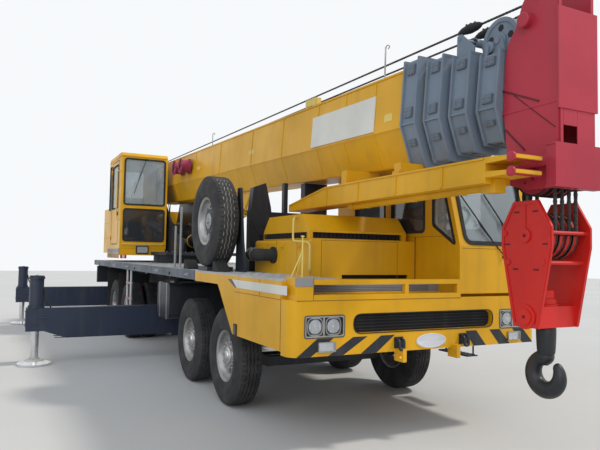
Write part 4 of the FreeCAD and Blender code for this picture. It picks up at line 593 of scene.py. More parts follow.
def twin_hub_mesh():
    middle = (WHEEL_PLANE + TWIN_PLANE) / 2
    tip = 1100
    piece = Piece()
    piece.lathe([(TWIN_PLANE - 78, 70.5), (TWIN_PLANE - 78, 116), (middle + 30, 118), (tip - 40, 112), (tip - 30, 118),
                 (tip - 8, 118), (tip, 110), (tip + 4, 70), (tip + 22, 62), (tip + 27, 46), (tip + 27, 0.5),
                 (tip + 3, 0.5), (tip + 3, 70.5)], sides=40, closed=True)
    piece.bolts(ring_spots(143, 10, middle + 21), (0, 0, 1), 20, 32, 25)
    piece.bolts(ring_spots(96, 10, tip - 4, 0.3), (0, 0, 1), 9, 8)
    for x, y, z in ring_spots(143, 10, middle + 40):
        piece.rod((x, y, z), (x, y, z + 26), 10, 10)
    return mesh_of(piece, "twin_hub_form")


def set_wheels():
    tyre = tyre_mesh()
    front_rim, front_hub = front_rim_mesh(False), front_hub_mesh()
    twin_rim, twin_hub = twin_rim_mesh(), twin_hub_mesh()
    for axle, back, twin in AXLES:
        for side, sign in SIDES:
            key = f"{axle}{side}"
            body = f"wheel_{key}"
            turn = OUTWARD[side]
            spot = Vector((at(back), 0, WHEEL_RADIUS)) * MM
            wheel = Matrix.Translation(spot + Vector((0, sign * WHEEL_PLANE * MM, 0))) @ turn
            outer = put(f"tread_tyre_{key}", tyre, body, tyre_rubber, wheel)
            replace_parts(outer, f"tyre_{key}")
            if twin:
                inner_place = Matrix.Translation(spot + Vector((0, sign * TWIN_PLANE * MM, 0))) @ turn
                inner = put(f"tread_tyre_inner_{key}", tyre, body, tyre_rubber, inner_place)
                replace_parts(inner, f"tyre_{key}")
                middle = Matrix.Translation(spot) @ turn
                rim = put(f"disc_wheel_{key}", twin_rim, body, wheel_paint, middle)
                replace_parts(rim, f"rim_{key}")
                put(f"wheel_hub_{key}", twin_hub, body, hub_paint, middle)
            else:
                rim = put(f"disc_wheel_{key}", front_rim, body, wheel_paint, wheel)
                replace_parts(rim, f"rim_{key}")
                put(f"wheel_hub_{key}", front_hub, body, hub_paint, wheel)
    spare_place = Matrix.Translation(Vector((at(2450), -1255, 1480 + 50 + WHEEL_RADIUS)) * MM) @ OUTWARD["r"]
    spare = put("tread_tyre_spare", tyre, "carrier", tyre_rubber, spare_place)
    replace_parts(spare, "spare_tyre")
    rim = put("disc_wheel_spare", front_rim_mesh(True), "carrier", wheel_paint, spare_place)
    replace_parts(rim, "spare_rim")
    dusty = Piece(spare_place)
    dusty.lathe([(-62, 522), (-62, 534), (62, 534), (62, 522)], sides=80, closed=True)
    dusty.done("spare_groove_dust", "carrier", groove_dust)


# Front end

def front_lights():
    """Bezels, reflectors and glass of the head lamps, and the small lamps below them."""
    glass_parts, bezels, bowls, dark = Piece(), Piece(), Piece(), Piece()
    for _, sign in SIDES:
        low, high = sorted((sign * 899, sign * 1275))
        bezels.frame("YZ", oblong(low, high, 999, 1175, 22), 12, BUMPER - 30, BUMPER + 5)
        dark.frame("YZ", oblong(low - 9, high + 9, 990, 1184, 28), 10, BUMPER - 1, BUMPER + 3)
        dark.box((BUMPER - 38, BUMPER - 35), (low + 6, high - 6), (1005, 1169))
        bezels.box((BUMPER - 38, BUMPER - 14), sorted((sign * 1078, sign * 1096)), (1011, 1163))
        for reach in (1000, 1175):
            y = sign * reach
            bezels.frame("YZ", rounded([(y - 76, 1011), (y + 76, 1011), (y + 76, 1163), (y - 76, 1163)], 60, 6), 9,
                         BUMPER - 20, BUMPER - 6)
            bowls.lathe([(-34, 30), (-30, 45), (-12, 64), (-9, 67), (-9, 63), (-30, 41)], (BUMPER, y, 1087), "X", 32,
                        closed=True)
            bowls.lathe([(-36, 5), (-12, 12), (-6, 12), (-4, 4)], (BUMPER, y, 1087), "X", 16)
            dark.lathe([(-10, 60), (-5.5, 60), (-5.5, 68), (-10, 68)], (BUMPER, y, 1087), "X", 32, closed=True)
            dark.lathe([(-28, 30), (-24, 30), (-24, 18), (-28, 18)], (BUMPER, y, 1087), "X", 24, closed=True)
            for shift in (-36, -18, 0, 18, 36):
                high = math.sqrt(58 * 58 - shift * shift)
                dark.box((BUMPER - 8.5, BUMPER - 7.5), (y + shift - 1, y + shift + 1), (1087 - high, 1087 + high))
            glass_parts.lathe([(-9, 66), (-4, 60), (0, 42), (3, 20), (4, 3), (1, 3), (-3, 22), (-8, 58)],
                              (BUMPER, y, 1087), "X", 32, closed=True)
        small_low, small_high = sorted((sign * 990, sign * 1158))
        bezels.frame("YZ", oblong(small_low, small_high, 874, 960, 14), 8, BUMPER - 1, BUMPER + 26)
        bowls.box((BUMPER - 2, BUMPER + 8), (small_low + 8, small_high - 8), (882, 952))
        glass_parts.prism("YZ", oblong(small_low + 8, small_high - 8, 882, 952, 10), BUMPER + 12, BUMPER + 22)
    bezels.done("lamp_bezels", "carrier", bezel_chrome, 2)
    bowls.done("lamp_bowls", "carrier", reflector)
    dark.done("lamp_shades", "carrier", lamp_dark)
    glass_parts.done("lamp_glass", "carrier", lens)


def front_fittings():
    grille = Piece()
    grille.prism("YZ", oblong(-798, 798, 1020, 1177, 74), BUMPER - 59, BUMPER - 50)
    for index in range(5):
        level = 1040 + index * 28
        shift = 40 if index in (0, 4) else 10
        grille.box((BUMPER - 52, BUMPER - 30), (-780 + shift, 780 - shift), (level - 3, level + 6))
    grille.done("slot_grille", "carrier", soft_black, 1)
    rim = Piece()
    rim.frame("YZ", oblong(-808, 808, 1010, 1187, 84), 9, BUMPER - 4, BUMPER + 3)
    rim.done("slot_rim", "carrier", soft_rubber)
    badge = Piece()
    badge.lathe([(0, 1), (6, 1), (8, 0.96), (8, 0.88), (6.5, 0.86), (6.5, 0.02), (0, 0.02)], (0, 0, 0), "X", 48,
                closed=True)
    for vert in badge.mesh.verts:
        vert.co = Vector((BUMPER * MM + vert.co.x, (40 + vert.co.y * 1000 * 172) * MM, (917 + vert.co.z * 1000 * 66) * MM))
    badge.done("blank_badge", "carrier", white)
    hooks = Piece()
    for y in (-330, 420):
        hooks.box((BUMPER - 2, BUMPER + 10), (y - 48, y + 48), (868, 968))
        hooks.pipe([(BUMPER + 8, y - 26, 948), (BUMPER + 52, y - 26, 942), (BUMPER + 56, y - 22, 858),
                    (BUMPER + 56, y + 22, 858), (BUMPER + 52, y + 26, 942), (BUMPER + 8, y + 26, 948)], 13, 22, 10)
        hooks.bolts([(BUMPER + 10, y + a, z) for a in (-34, 34) for z in (884, 952)], (1, 0, 0), 9, 8)
    hooks.done("tow_hooks", "carrier", black, 1.5)
    plates = Piece()
    plates.box((BUMPER - 1, BUMPER + 7), (-1375, -1205), (1424, 1494))
    plates.bolts([(BUMPER + 7, y, 1459) for y in (-1362, -1218)], (1, 0, 0), 6, 4)
    plates.done("corner_plate", "carrier", lamp_grey, 2)
    mesh = Piece()
    mesh.box((BUMPER - 300, BUMPER - 294), (-1190, 370), (1336, 1420))
    mesh.done("perforated_riser", "carrier", lamp_grey)
    # Dark dots stand for the riser's perforations, which are not cut: painted shade seen through the holes.
    hole_shade_dots = Piece()
    for row in range(5):
        for column in range(84):
            y = -1180 + column * 17 + (8.5 if row % 2 else 0)
            hole_shade_dots.rod((BUMPER - 296, y, 1346 + row * 15), (BUMPER - 293, y, 1346 + row * 15), 5.6, 6)
    hole_shade_dots.done("riser_hole_shade", "carrier", soft_black)
    treads = Piece()
    for column in range(52):
        y = -1190 + column * 30
        treads.box((BUMPER - 290, BUMPER - 70), (y, y + 8), (1340, 1347))
    treads.box((BUMPER - 294, BUMPER - 286), (-1196, 380), (1338, 1352))
    treads.box((BUMPER - 74, BUMPER - 66), (-1196, 380), (1338, 1352))
    treads.done("step_treads", "carrier", yellow)
    rails = Piece()
    rails.pipe([(at(720), -858, 1520), (at(640), -905, 1530), (at(640), -905, 1800), (at(740), -905, 1812),
                (at(1010), -905, 1826), (at(1010), -900, 2060), (at(1080), -838, 2075)], 11, 50, 10)
    rails.done("hood_grab_rail", "carrier", pale_yellow)
    stay = Piece()
    stay.rod((at(40), -1290, 1500), (at(40), -1290, 1836), 7, 10)
    stay.rod((at(40), -1392, 1500), (at(40), -1292, 1716), 5, 8)
    stay.rod((at(160), -1290, 1482), (at(44), -1290, 1712), 5, 8)
    stay.lathe([(0, 16), (8, 16), (12, 8)], (at(40), -1290, 1836), "Z", 12)
    stay.done("corner_marker", "carrier", pale_yellow)


STRIPES = (
    # lower edge from and to, upper edge from and to, across the bumper's face
    (-1352, -1219, -1159, -1000), (-1048, -901, -807, -660), (-728, -564, -518, -370), (556, 714, 456, 590),
    (886, 1030, 759, 893), (1205, 1345, 1064, 1205),
)


def bumper_stripes():
    paint_sheet = Piece()
    for low_from, low_to, high_from, high_to in STRIPES:
        paint_sheet.slab([(BUMPER + 0.3, low_from, 841), (BUMPER + 0.3, low_to, 841), (BUMPER + 0.3, high_to, 988),
                          (BUMPER + 0.3, high_from, 988)], (1, 0, 0), 1.2)
    paint_sheet.done("bumper_stripes", "carrier", black)


def side_fittings():
    """Plates, lamps and catches on the skirts and along the deck's edge."""
    sheet = Piece()
    sheet.prism("XZ", [(at(1375), 1424), (at(75), 1424), (at(75), 1345), (at(1240), 1345)], -1413, -1409)
    sheet.done("blank_side_plate", "carrier", sign_white, 1)
    end = Piece()
    end.prism("XZ", [(at(1510), 1424), (at(1385), 1424), (at(1250), 1345), (at(1290), 1345)], -1413, -1409)
    end.done("side_plate_end", "carrier", sign_grey, 1)
    seams = Piece()
    seams.box((at(656), at(648)), (-1412, -1408), (1312, 1456))
    seams.box((at(1300), at(200)), (-1412, -1408), (1300, 1305))
    seams.box((BUMPER - 1, BUMPER + 2), (-1350, 395), (1301, 1307))
    seams.box((BUMPER - 1, BUMPER + 2), (-1203, -1198), (1307, 1500))
    for _, sign in SIDES:
        y = sorted((sign * 1408, sign * 1412))
        seams.box((at(196), at(188)), y, (880, 1336))
    seams.done("skirt_seams", "carrier", dark_yellow)
    lamps_out = Piece()
    frames = Piece()
    for side, sign in SIDES:
        for back, level in ((1253, 926), (3900, 1400), (6300, 1400), (10400, 1400)):
            if back > 3000 and side == "l" and back < 4000:
                continue
            half = (44, 58) if back < 3000 else (45, 18)
            y = sorted((sign * 1409, sign * 1419))
            frames.box((at(back + half[0]), at(back - half[0])), y, (level - half[1], level + half[1]))
            y = sorted((sign * 1418, sign * 1424))
            lamps_out.box((at(back + half[0] - 8), at(back - half[0] + 8)), y,
                          (level - half[1] + 8, level + half[1] - 8))
    frames.done("side_lamp_frames", "carrier", soft_black, 3)
    lamps_out.done("side_lamp_lenses", "carrier", lamp_dark, 3)
    catches = Piece()
    for back in (2990, 4600, 6900, 8300):
        catches.pipe([(at(back + 40), -1412, 1415), (at(back + 40), -1440, 1415), (at(back - 40), -1440, 1415),
                      (at(back - 40), -1412, 1415)], 9, 15, 8)
        catches.box((at(back + 60), at(back - 60)), (-1413, -1408), (1395, 1435))
    catches.done("deck_catches", "carrier", steel, 1)


def deck_fittings():
    tread = Piece()
    count = 0
    for row in range(-13, 14):
        y = row * 100
        step = 0 if row % 2 else 60
        for column in range(66):
            x = at(2380 + step + column * 125)
            if x < at(10850) or math.hypot(x - at(7850), y) < 850:
                continue
            if -1410 < y < -1000 and at(3100) < x < at(1900):
                continue
            lean = 1 if (row + column) % 2 else -1
            tread.slab([(x - 22, y - 14 * lean - 3, 1480.2), (x + 22, y + 14 * lean - 3, 1480.2),
                        (x + 22, y + 14 * lean + 3, 1480.2), (x - 22, y - 14 * lean + 3, 1480.2)], (0, 0, 1), 3)
            count += 1
    for row in range(9):
        for column in range(14):
            x = at(230 + column * 125 + (60 if row % 2 else 0))
            y = -1370 + row * 60
            lean = 1 if (row + column) % 2 else -1
            tread.slab([(x - 22, y - 14 * lean - 3, 1480.2), (x + 22, y + 14 * lean - 3, 1480.2),
                        (x + 22, y + 14 * lean + 3, 1480.2), (x - 22, y - 14 * lean + 3, 1480.2)], (0, 0, 1), 3)
    tread.done("deck_tread_marks", "carrier", deck_paint)
    posts = Piece()
    for back, top in ((3870, 2050), (3600, 2300)):
        posts.rod((at(back), -1340, 1481), (at(back), -1340, top), 15, 12)
        posts.lathe([(0, 38), (8, 38), (12, 20)], (at(back), -1340, 1481), "Z", 16)
        posts.lathe([(0, 15), (10, 15), (16, 8)], (at(back), -1340, top), "Z", 12)
    posts.done("deck_posts", "carrier", lamp_grey)
    chocks = Piece()
    for back in (2010, 3180):
        chocks.prism("XZ", [(at(back + 110), 1481), (at(back - 110), 1481), (at(back - 90), 1510), (at(back + 60), 1600),
                            (at(back + 90), 1600)], -1380, -1230)
        chocks.box((at(back + 120), at(back - 120)), (-1385, -1225), (1480.3, 1488))
    chocks.done("wheel_chocks", "carrier", soft_rubber, 4)
    edge = Piece()
    edge.box((at(11180), at(2668)), (-1412.5, -1409), (1361, 1470))
    edge.box((at(11180), at(2668)), (-1414, -1409), (1470, 1477))
    for index in range(12):
        edge.box((at(2700 + index * 760) - 4, at(2700 + index * 760) + 4), (-1415, -1409), (1363, 1470))
    edge.done("deck_edge_band", "carrier", edge_grey)
    rungs = Piece()
    ladder = at(7000)
    for index in range(3):
        z = 560 + index * 280
        for part in range(6):
            x = ladder - 15 + part * 60
            rungs.box((x, x + 30), (-1412, -1362), (z - 17, z + 17))
    rungs.done("rung_marks", "carrier", red, 2)
    whites = Piece()
    for index in range(3):
        z = 560 + index * 280
        for part in range(6):
            x = ladder + 15 + part * 60
            whites.box((x, x + 30), (-1411, -1363), (z - 16, z + 16))
    whites.rod((ladder, -1385, 515), (ladder, -1385, 1362), 19.5, 12)
    whites.rod((ladder + 330, -1385, 515), (ladder + 330, -1385, 1362), 19.5, 12)
    whites.done("ladder_paint", "carrier", pale_steel, 1)


def hood_fittings():
    parts = Piece()
    front = at(700)
    for y in (-860 + 115, 160):
        parts.box((front - 1, front + 2), (y - 2, y + 2), (1345, 1835))
    parts.box((front - 1, front + 2), (-745, 160), (1832, 1836))
    parts.box((front - 1, front + 2), (-745, 160), (1343, 1347))
    side = -860
    for back in (1000, 1500):
        parts.box((at(back + 2), at(back - 2)), (side - 2, side + 1), (1500, 1835))
    parts.done("hood_seams", "carrier", dark_yellow)
    louvres = Piece()
    for index in range(22):
        x = at(1850) + index * 48
        louvres.box((x, x + 8), (-856, -838), (1857, 1913))
    for index in range(22):
        y = -790 + index * 48
        louvres.box((at(812), at(794)), (y, y + 8), (1857, 1913))
    louvres.box((at(1840), at(840)), (-834, -828), (1855, 1915))
    louvres.box((at(822), at(816)), (-795, 265), (1855, 1915))
    louvres.done("cover_louvres", "carrier", soft_black)
    slot_back = Piece()
    slot_back.box((front - 36, front - 31), (-520, 310), (1446, 1504))
    for index in range(3):
        slot_back.box((front - 31, front - 12), (-505, 296), (1462 + index * 11, 1465 + index * 11))
    slot_back.done("hood_slot_grille", "carrier", soft_black)
    latches = Piece()
    for back in (950, 1350, 1850):
        latches.box((at(back + 28), at(back - 28)), (side - 6, side), (1742, 1790))
        latches.pipe([(at(back + 16), side - 5, 1766), (at(back + 16), side - 26, 1766),
                      (at(back - 16), side - 26, 1766), (at(back - 16), side - 5, 1766)], 5, 8, 8)
    latches.done("hood_latches", "carrier", yellow, 1)
    line = Piece()
    line.box((front - 1, front + 3), (386, 394), (1345, 1900))
    line.done("rust_streak", "carrier", rust_brown)
    clamps = Piece()
    for place in (1840, 1960):
        clamps.lathe([(-9, 66.5), (-9, 71), (9, 71), (9, 66.5)], (at(place), -970, 1680), "X", 32, closed=True)
        clamps.box((at(place) - 8, at(place) + 8), (-984, -956), (1750, 1764))
    clamps.done("duct_clamps", "carrier", steel)
    ribs = Piece()
    for index in range(7):
        ribs.lathe([(-5, 66), (-2, 70), (2, 70), (5, 66)], (at(1700 + index * 20), -970, 1680), "X", 28, closed=True)
    ribs.done("duct_ribs", "carrier", soft_rubber)


# Carrier cab

CAB_IN, CAB_OUT = 400, 1410


def pane(piece, plane, outline, low, high):
    piece.prism(plane, outline, low, high)


def xz_window(back_front, back_rear, low, high, corner=45):
    return oblong(at(back_rear), at(back_front), low, high, corner)


def cab_fittings():
    seals, door_seals = Piece(), Piece()
    panes, dark_panes, door_panes = Piece(), Piece(), Piece()
    slope = (2700 - 1800) / (270 - 20)

    def screen_point(y, z):
        return (at(20 + (z - 1800) / slope), y, z)

    outline = oblong(CAB_IN + 90, CAB_OUT - 90, 1835, 2660, 80)
    near = [screen_point(y, z) for y, z in outline]
    grown = [screen_point(y, z) for y, z in drawn_in(outline, -26)]
    inner = [screen_point(y, z) for y, z in drawn_in(outline, 14)]
    count = len(near)
    lift = Vector((0.964, 0, 0.268)) * 9
    points = [Vector(p) + shift for shift in (lift * -3, lift) for ring in (grown, inner) for p in ring]
    faces = []
    for i in range(count):
        j = (i + 1) % count
        faces += [(i, j, count + j, count + i), (2 * count + j, 2 * count + i, 3 * count + i, 3 * count + j),
                  (i, 2 * count + i, 2 * count + j, j), (count + j, 3 * count + j, 3 * count + i, count + i)]
    seals.add(points, faces)
    panes.slab([Vector(p) - lift * 1.4 for p in near], (0.964, 0, 0.268), 6)
    quarter = rounded([(at(415), 2015), (at(88), 1815), (at(300), 2540), (at(415), 2540)], 30)
    inside = [quarter, xz_window(560, 1135, 1950, 2560), xz_window(1270, 1895, 1975, 2560)]
    for outline in inside:
        seals.frame("XZ", drawn_in(outline, -14), 26, CAB_IN - 7, CAB_IN + 20)
        sheet = panes if outline is quarter else dark_panes
        sheet.prism("XZ", outline, CAB_IN + 6, CAB_IN + 12)
    outer = xz_window(1640, 2180, 2010, 2600)
    seals.frame("XZ", drawn_in(outer, -14), 26, CAB_OUT - 20, CAB_OUT + 7)
    panes.prism("XZ", outer, CAB_OUT - 12, CAB_OUT - 6)
    back = oblong(CAB_IN + 160, CAB_OUT - 160, 2050, 2560, 45)
    seals.frame("YZ", drawn_in(back, -14), 26, at(2330) - 7, at(2330) + 20)
    panes.prism("YZ", back, at(2330) + 6, at(2330) + 12)
    door = oblong(at(1500) + 96, at(640) - 96, 2010, 2584, 45)
    door_seals.frame("XZ", drawn_in(door, -14), 26, CAB_OUT - 20, CAB_OUT + 7)
    door_panes.prism("XZ", door, CAB_OUT - 12, CAB_OUT - 6)
    seals.done("cab_seals", "carrier", soft_rubber)
    panes.done("cab_panes", "carrier", screen_glass)
    dark_panes.done("cab_dark_panes", "carrier", dark_glass)
    door_seals.done("cab_door_seals", "cab_door", soft_rubber)
    door_panes.done("cab_door_pane", "cab_door", screen_glass)
    wipers = Piece()
    for shift in (0, 330):
        foot = Vector((BUMPER - 16, 966 + shift, 1700)) if shift == 0 else Vector(screen_point(1290, 1815)) + lift
        elbow = Vector(screen_point(690 + shift * 0.9, 2000)) + lift * 2.6
        wipers.rod(foot - lift, foot + lift * 2.5, 16, 14)
        wipers.rod(foot + lift * 2, elbow, 6, 8)
        low = Vector(screen_point(820 + shift * 0.9, 1860)) + lift * 1.6
        high = Vector(screen_point(500 + shift, 2330)) + lift * 1.6
        wipers.rod(low, high, 7, 6)
        wipers.rod(elbow, low.lerp(high, 0.45), 6, 8)
    wipers.done("cab_wipers", "carrier", soft_black)
    trim = Piece()
    trim.box((at(1490), at(655)), (CAB_OUT - 1, CAB_OUT + 2), (1900, 1906))
    trim.prism("XZ", oblong(at(1440), at(1330), 1835, 1885, 12), CAB_OUT, CAB_OUT + 8)
    trim.pipe([(at(1425), CAB_OUT + 6, 1860), (at(1425), CAB_OUT + 30, 1860), (at(1345), CAB_OUT + 30, 1860),
               (at(1345), CAB_OUT + 6, 1860)], 7, 12, 8)
    trim.done("cab_door_handle", "cab_door", soft_black, 1)
    outline = oblong(at(1500) + 6, at(640) - 6, 1426, 2674, 6)
    gap = Piece()
    gap.frame("XZ", drawn_in(outline, 4), 9, CAB_OUT - 1, CAB_OUT + 3)
    gap.done("cab_door_edge", "cab_door", soft_rubber)
    rails = Piece()
    for back in (600, 1540):
        rails.pipe([(at(back), CAB_OUT - 2, 1650), (at(back), CAB_OUT + 45, 1650), (at(back), CAB_OUT + 45, 2250),
                    (at(back), CAB_OUT - 2, 2250)], 12, 30, 10)
    rails.done("cab_grab_rails", "carrier", pale_yellow)
    steps = Piece()
    for level in (560, 830):
        steps.box((at(1330), at(830)), (1240, 1400), (level, level + 12))
        for index in range(9):
            steps.box((at(1320) + index * 55, at(1320) + index * 55 + 14), (1245, 1395), (level + 12, level + 18))
    for back in (850, 1310):
        steps.box((at(back) - 7, at(back) + 7), (1340, 1356), (560, 875))
    steps.done("cab_steps", "carrier", black, 1.5)
    arms = Piece()
    arms.pipe([(at(330), CAB_OUT - 20, 2560), (at(250), CAB_OUT + 120, 2600), (at(250), CAB_OUT + 120, 2030),
               (at(330), CAB_OUT - 20, 1990)], 11, 60, 10)
    arms.done("mirror_arms", "carrier", soft_black)
    heads = Piece()
    heads.prism("YZ", oblong(CAB_OUT + 50, CAB_OUT + 200, 2140, 2520, 40), at(285), at(235))
    heads.done("mirror_heads", "carrier", soft_black, 6)
    faces_in = Piece()
    faces_in.prism("YZ", oblong(CAB_OUT + 62, CAB_OUT + 188, 2152, 2508, 32), at(289), at(286))
    faces_in.done("mirror_faces", "carrier", mirror)
    roof = Piece()
    for y in (500, 905, 1310):
        roof.box((at(470), at(420)), (y - 45, y + 45), (2798, 2806))
        roof.lathe([(0, 36), (20, 32), (34, 18), (38, 3)], (at(445), y, 2804), "Z", 20)
    roof.done("cab_roof_lamps", "carrier", amber)
    seams = Piece()
    seams.box((at(20) - 1, at(18)), (CAB_IN + 30, CAB_OUT - 60), (1775, 1779))
    seams.box((at(2300), at(60)), (CAB_IN - 2, CAB_IN + 1), (1895, 1899))
    for back in (1180, 1215):
        seams.box((at(back + 2), at(back - 2)), (CAB_IN - 2, CAB_IN + 1), (1900, 2760))
    seams.box((at(2310), at(420)), (CAB_IN - 9, CAB_IN + 2), (2745, 2753))
    seams.done("cab_seams", "carrier", dark_yellow)


def seat_covers():
    """Stitched ribs on both seats, and what stands on the two dashboards."""
    ribs = Piece()
    middle = (CAB_IN + CAB_OUT) / 2
    seat = at(1500)
    for index in range(5):
        y = middle - 160 + index * 80
        ribs.rod((seat - 215, y, 1851), (seat + 225, y, 1851), 26, 10)
    ribs.done("driver_seat_ribs", "carrier", seat_cloth)
    dials = Piece()
    for y in (middle - 140, middle, middle + 140):
        dials.lathe([(0, 52), (14, 52), (16, 44), (10, 42), (10, 2)], (at(345), y, 1806), "Z", 24)
    dials.box((at(300), at(180)), (CAB_IN + 120, CAB_IN + 420), (1790, 1830))
    dials.lathe([(0, 34), (60, 26), (95, 30), (98, 4)], (at(700), CAB_IN + 150, 1400), "Z", 16)
    dials.rod((at(700), CAB_IN + 150, 1490), (at(730), CAB_IN + 170, 1840), 9, 10)
    dials.lathe([(0, 12), (22, 26), (44, 24), (52, 4)], (at(730), CAB_IN + 170, 1835), "Z", 16)
    dials.done("driver_dials", "carrier", soft_black)
    cover = Piece()
    middle = -(450 + 1390) / 2
    seat = at(7950 + 880)
    for index in range(5):
        y = middle - 160 + index * 80
        cover.rod((seat - 215, y, 2291), (seat + 225, y, 2291), 26, 10)
    cover.done("operator_seat_ribs", "superstructure", seat_cloth)
    knobs = Piece()
    desk = at(7950 + 260)
    for index in range(4):
        knobs.lathe([(-10, 13), (8, 25), (30, 26), (44, 14), (46, 2)], (desk, middle - 165 + index * 110, 2630), "Z", 16)
    knobs.box((desk - 80, desk + 60), (middle - 120, middle + 150), (2369, 2400))
    knobs.done("lever_knobs", "superstructure", soft_black, 2)


# Operator's cab

OP_IN, OP_OUT = -450, -1390
OP_FRONT, OP_REAR = 7950, 9380


def op_cab_fittings():
    seals, panes, dark = Piece(), Piece(), Piece()
    front = at(OP_FRONT)
    rear = at(OP_REAR)
    upper = oblong(OP_OUT + 70, OP_IN - 60, 2660, 3590, 50)
    lower = oblong(OP_OUT + 70, OP_IN - 60, 1920, 2560, 50)
    for outline in (upper, lower):
        seals.frame("YZ", drawn_in(outline, -20), 34, front - 20, front + 8)
    panes.prism("YZ", upper, front - 12, front - 6)
    dark.prism("YZ", lower, front - 12, front - 6)
    inner = oblong(rear + 500, front - 120, 2600, 3560, 50)
    seals.frame("XZ", drawn_in(inner, -16), 30, OP_IN - 20, OP_IN + 8)
    panes.prism("XZ", inner, OP_IN - 12, OP_IN - 6)
    side = oblong(rear + 90, at(9010) - 60, 2600, 3540, 40)
    seals.frame("XZ", drawn_in(side, -16), 30, OP_OUT - 8, OP_OUT + 20)
    panes.prism("XZ", side, OP_OUT + 6, OP_OUT + 12)
    back = oblong(OP_OUT + 180, OP_IN - 180, 2700, 3520, 45)
    seals.frame("YZ", drawn_in(back, -16), 30, rear - 8, rear + 20)
    panes.prism("YZ", back, rear + 6, rear + 12)
    roof = [(rear + 600, OP_OUT + 170), (front - 200, OP_OUT + 170), (front - 200, OP_IN - 170),
            (rear + 600, OP_IN - 170)]
    seals.frame("XY", drawn_in(roof, -20), 34, 3706, 3728)
    panes.prism("XY", roof, 3700, 3706)
    seals.done("op_cab_seals", "superstructure", soft_rubber)
    panes.done("op_cab_panes", "superstructure", screen_glass)
    dark.done("op_lower_pane", "superstructure", dark_glass)
    door_pane, door_seal = Piece(), Piece()
    door = oblong(at(9010) + 86, at(8200) - 86, 2600, 3500, 45)
    door_seal.frame("XZ", drawn_in(door, -16), 30, OP_OUT - 8, OP_OUT + 20)
    door_pane.prism("XZ", door, OP_OUT + 6, OP_OUT + 12)
    edge = oblong(at(9010) + 6, at(8200) - 6, 1846, 3594, 6)
    door_seal.frame("XZ", drawn_in(edge, 4), 9, OP_OUT - 3, OP_OUT + 1)
    door_seal.done("op_door_seal", "op_door", soft_rubber)
    door_pane.done("op_door_pane", "op_door", screen_glass)
    handle = Piece()
    handle.prism("XZ", oblong(at(8320), at(8250), 2440, 2520, 12), OP_OUT - 8, OP_OUT)
    handle.pipe([(at(8310), OP_OUT - 5, 2480), (at(8310), OP_OUT - 34, 2480), (at(8258), OP_OUT - 34, 2480),
                 (at(8258), OP_OUT - 5, 2480)], 7, 12, 8)
    handle.done("op_door_handle", "op_door", soft_black, 1)
    bars = Piece()
    bars.pipe([(at(8120), OP_OUT + 4, 2350), (at(8120), OP_OUT - 55, 2350), (at(8120), OP_OUT - 55, 3350),
               (at(8120), OP_OUT + 4, 3350)], 12, 30, 10)
    bars.pipe([(front - 4, -1330, 1850), (front + 60, -1330, 1850), (front + 60, -500, 1850), (front - 4, -500, 1850)],
              12, 40, 10)
    bars.done("op_cab_rails", "superstructure", pale_yellow)
    wiper = Piece()
    wiper.rod((front + 2, -900, 3600), (front + 22, -900, 3600), 16, 14)
    wiper.rod((front + 20, -900, 3600), (front + 20, -1060, 3120), 5, 8)
    wiper.rod((front + 10, -1000, 3330), (front + 10, -1130, 2880), 6, 6)
    wiper.rod((front + 20, -1062, 3110), (front + 10, -1066, 3105), 6, 6)
    wiper.done("op_wiper", "superstructure", soft_black)
    gutter = Piece()
    for y in (OP_OUT - 4, OP_IN + 4):
        gutter.box((rear + 40, front - 40), (y - 6, y + 6), (3640, 3654))
    gutter.box((front - 2, front + 10), (OP_OUT + 20, OP_IN - 20), (3640, 3654))
    gutter.done("op_gutter", "superstructure", yellow, 2)
    lamp, glassy = Piece(), Piece()
    lamp.prism("YZ", oblong(-1062, -812, 1655, 1815, 18), at(7950) + 2, at(7950) + 40)
    lamp.box((front - 5, front + 6), (-980, -890), (1700, 1775))
    glassy.prism("YZ", oblong(-1042, -832, 1675, 1795, 10), at(7950) + 38, at(7950) + 46)
    lamp.done("work_lamp_case", "superstructure", soft_black, 3)
    glassy.done("work_lamp_glass", "superstructure", lamp_face)
    skirt, band, marks = Piece(), Piece(), Piece()
    skirt.box((front + 1, front + 5), (OP_OUT - 4, OP_IN - 20), (1622, 1758))
    skirt.box((rear, front + 5), (OP_OUT - 4, OP_OUT - 1), (1556, 1758))
    skirt.done("shelf_sheets", "superstructure", yellow)
    band.box((rear + 20, front - 20), (OP_OUT - 8, OP_OUT - 4), (1668, 1750))
    band.done("shelf_band", "superstructure", blue_grey)
    for index in range(23):
        x = rear + 14 + index * 60
        marks.slab([(x, OP_OUT - 4, 1560), (x + 26, OP_OUT - 4, 1560), (x + 62, OP_OUT - 4, 1655),
                    (x + 36, OP_OUT - 4, 1655)], (0, -1, 0), 1.2)
    marks.done("shelf_stripes", "superstructure", black)
    marker, middle = Piece(), Piece()
    marker.box((front + 5, front + 9), (-1370, -1244), (1556, 1630))
    marker.done("corner_reflector", "superstructure", red, 1)
    middle.box((front + 9, front + 10.5), (-1330, -1284), (1562, 1624))
    middle.done("reflector_white", "superstructure", sign_white)


# Boom

FOOT = Vector((at(9350), 0, 3150)) * MM
BOOM = Matrix.Translation(FOOT) @ Matrix.Rotation(math.radians(1.85), 4, "Y")
BODIES = ("boom_base", "boom_2", "boom_3", "boom_4", "boom_top")


def section(step, proud=0.0):
    """The corners of a boom section's outline: floor right and left, knee, roof."""
    half = 320 - step * 42 + proud
    floor = 190 - step * 25 + proud * 0.6
    top = 553 - step * 44 + proud
    low = -327 + step * 44 - proud
    return {"floor": floor, "half": half, "roof": half - 30, "top": top, "low": low, "knee": 19}


def outline_of(step, proud=0.0):
    s = section(step, proud)
    return [(-s["floor"], s["low"]), (s["floor"], s["low"]), (s["half"], 19), (s["roof"], s["top"]),
            (-s["roof"], s["top"]), (-s["half"], 19)]


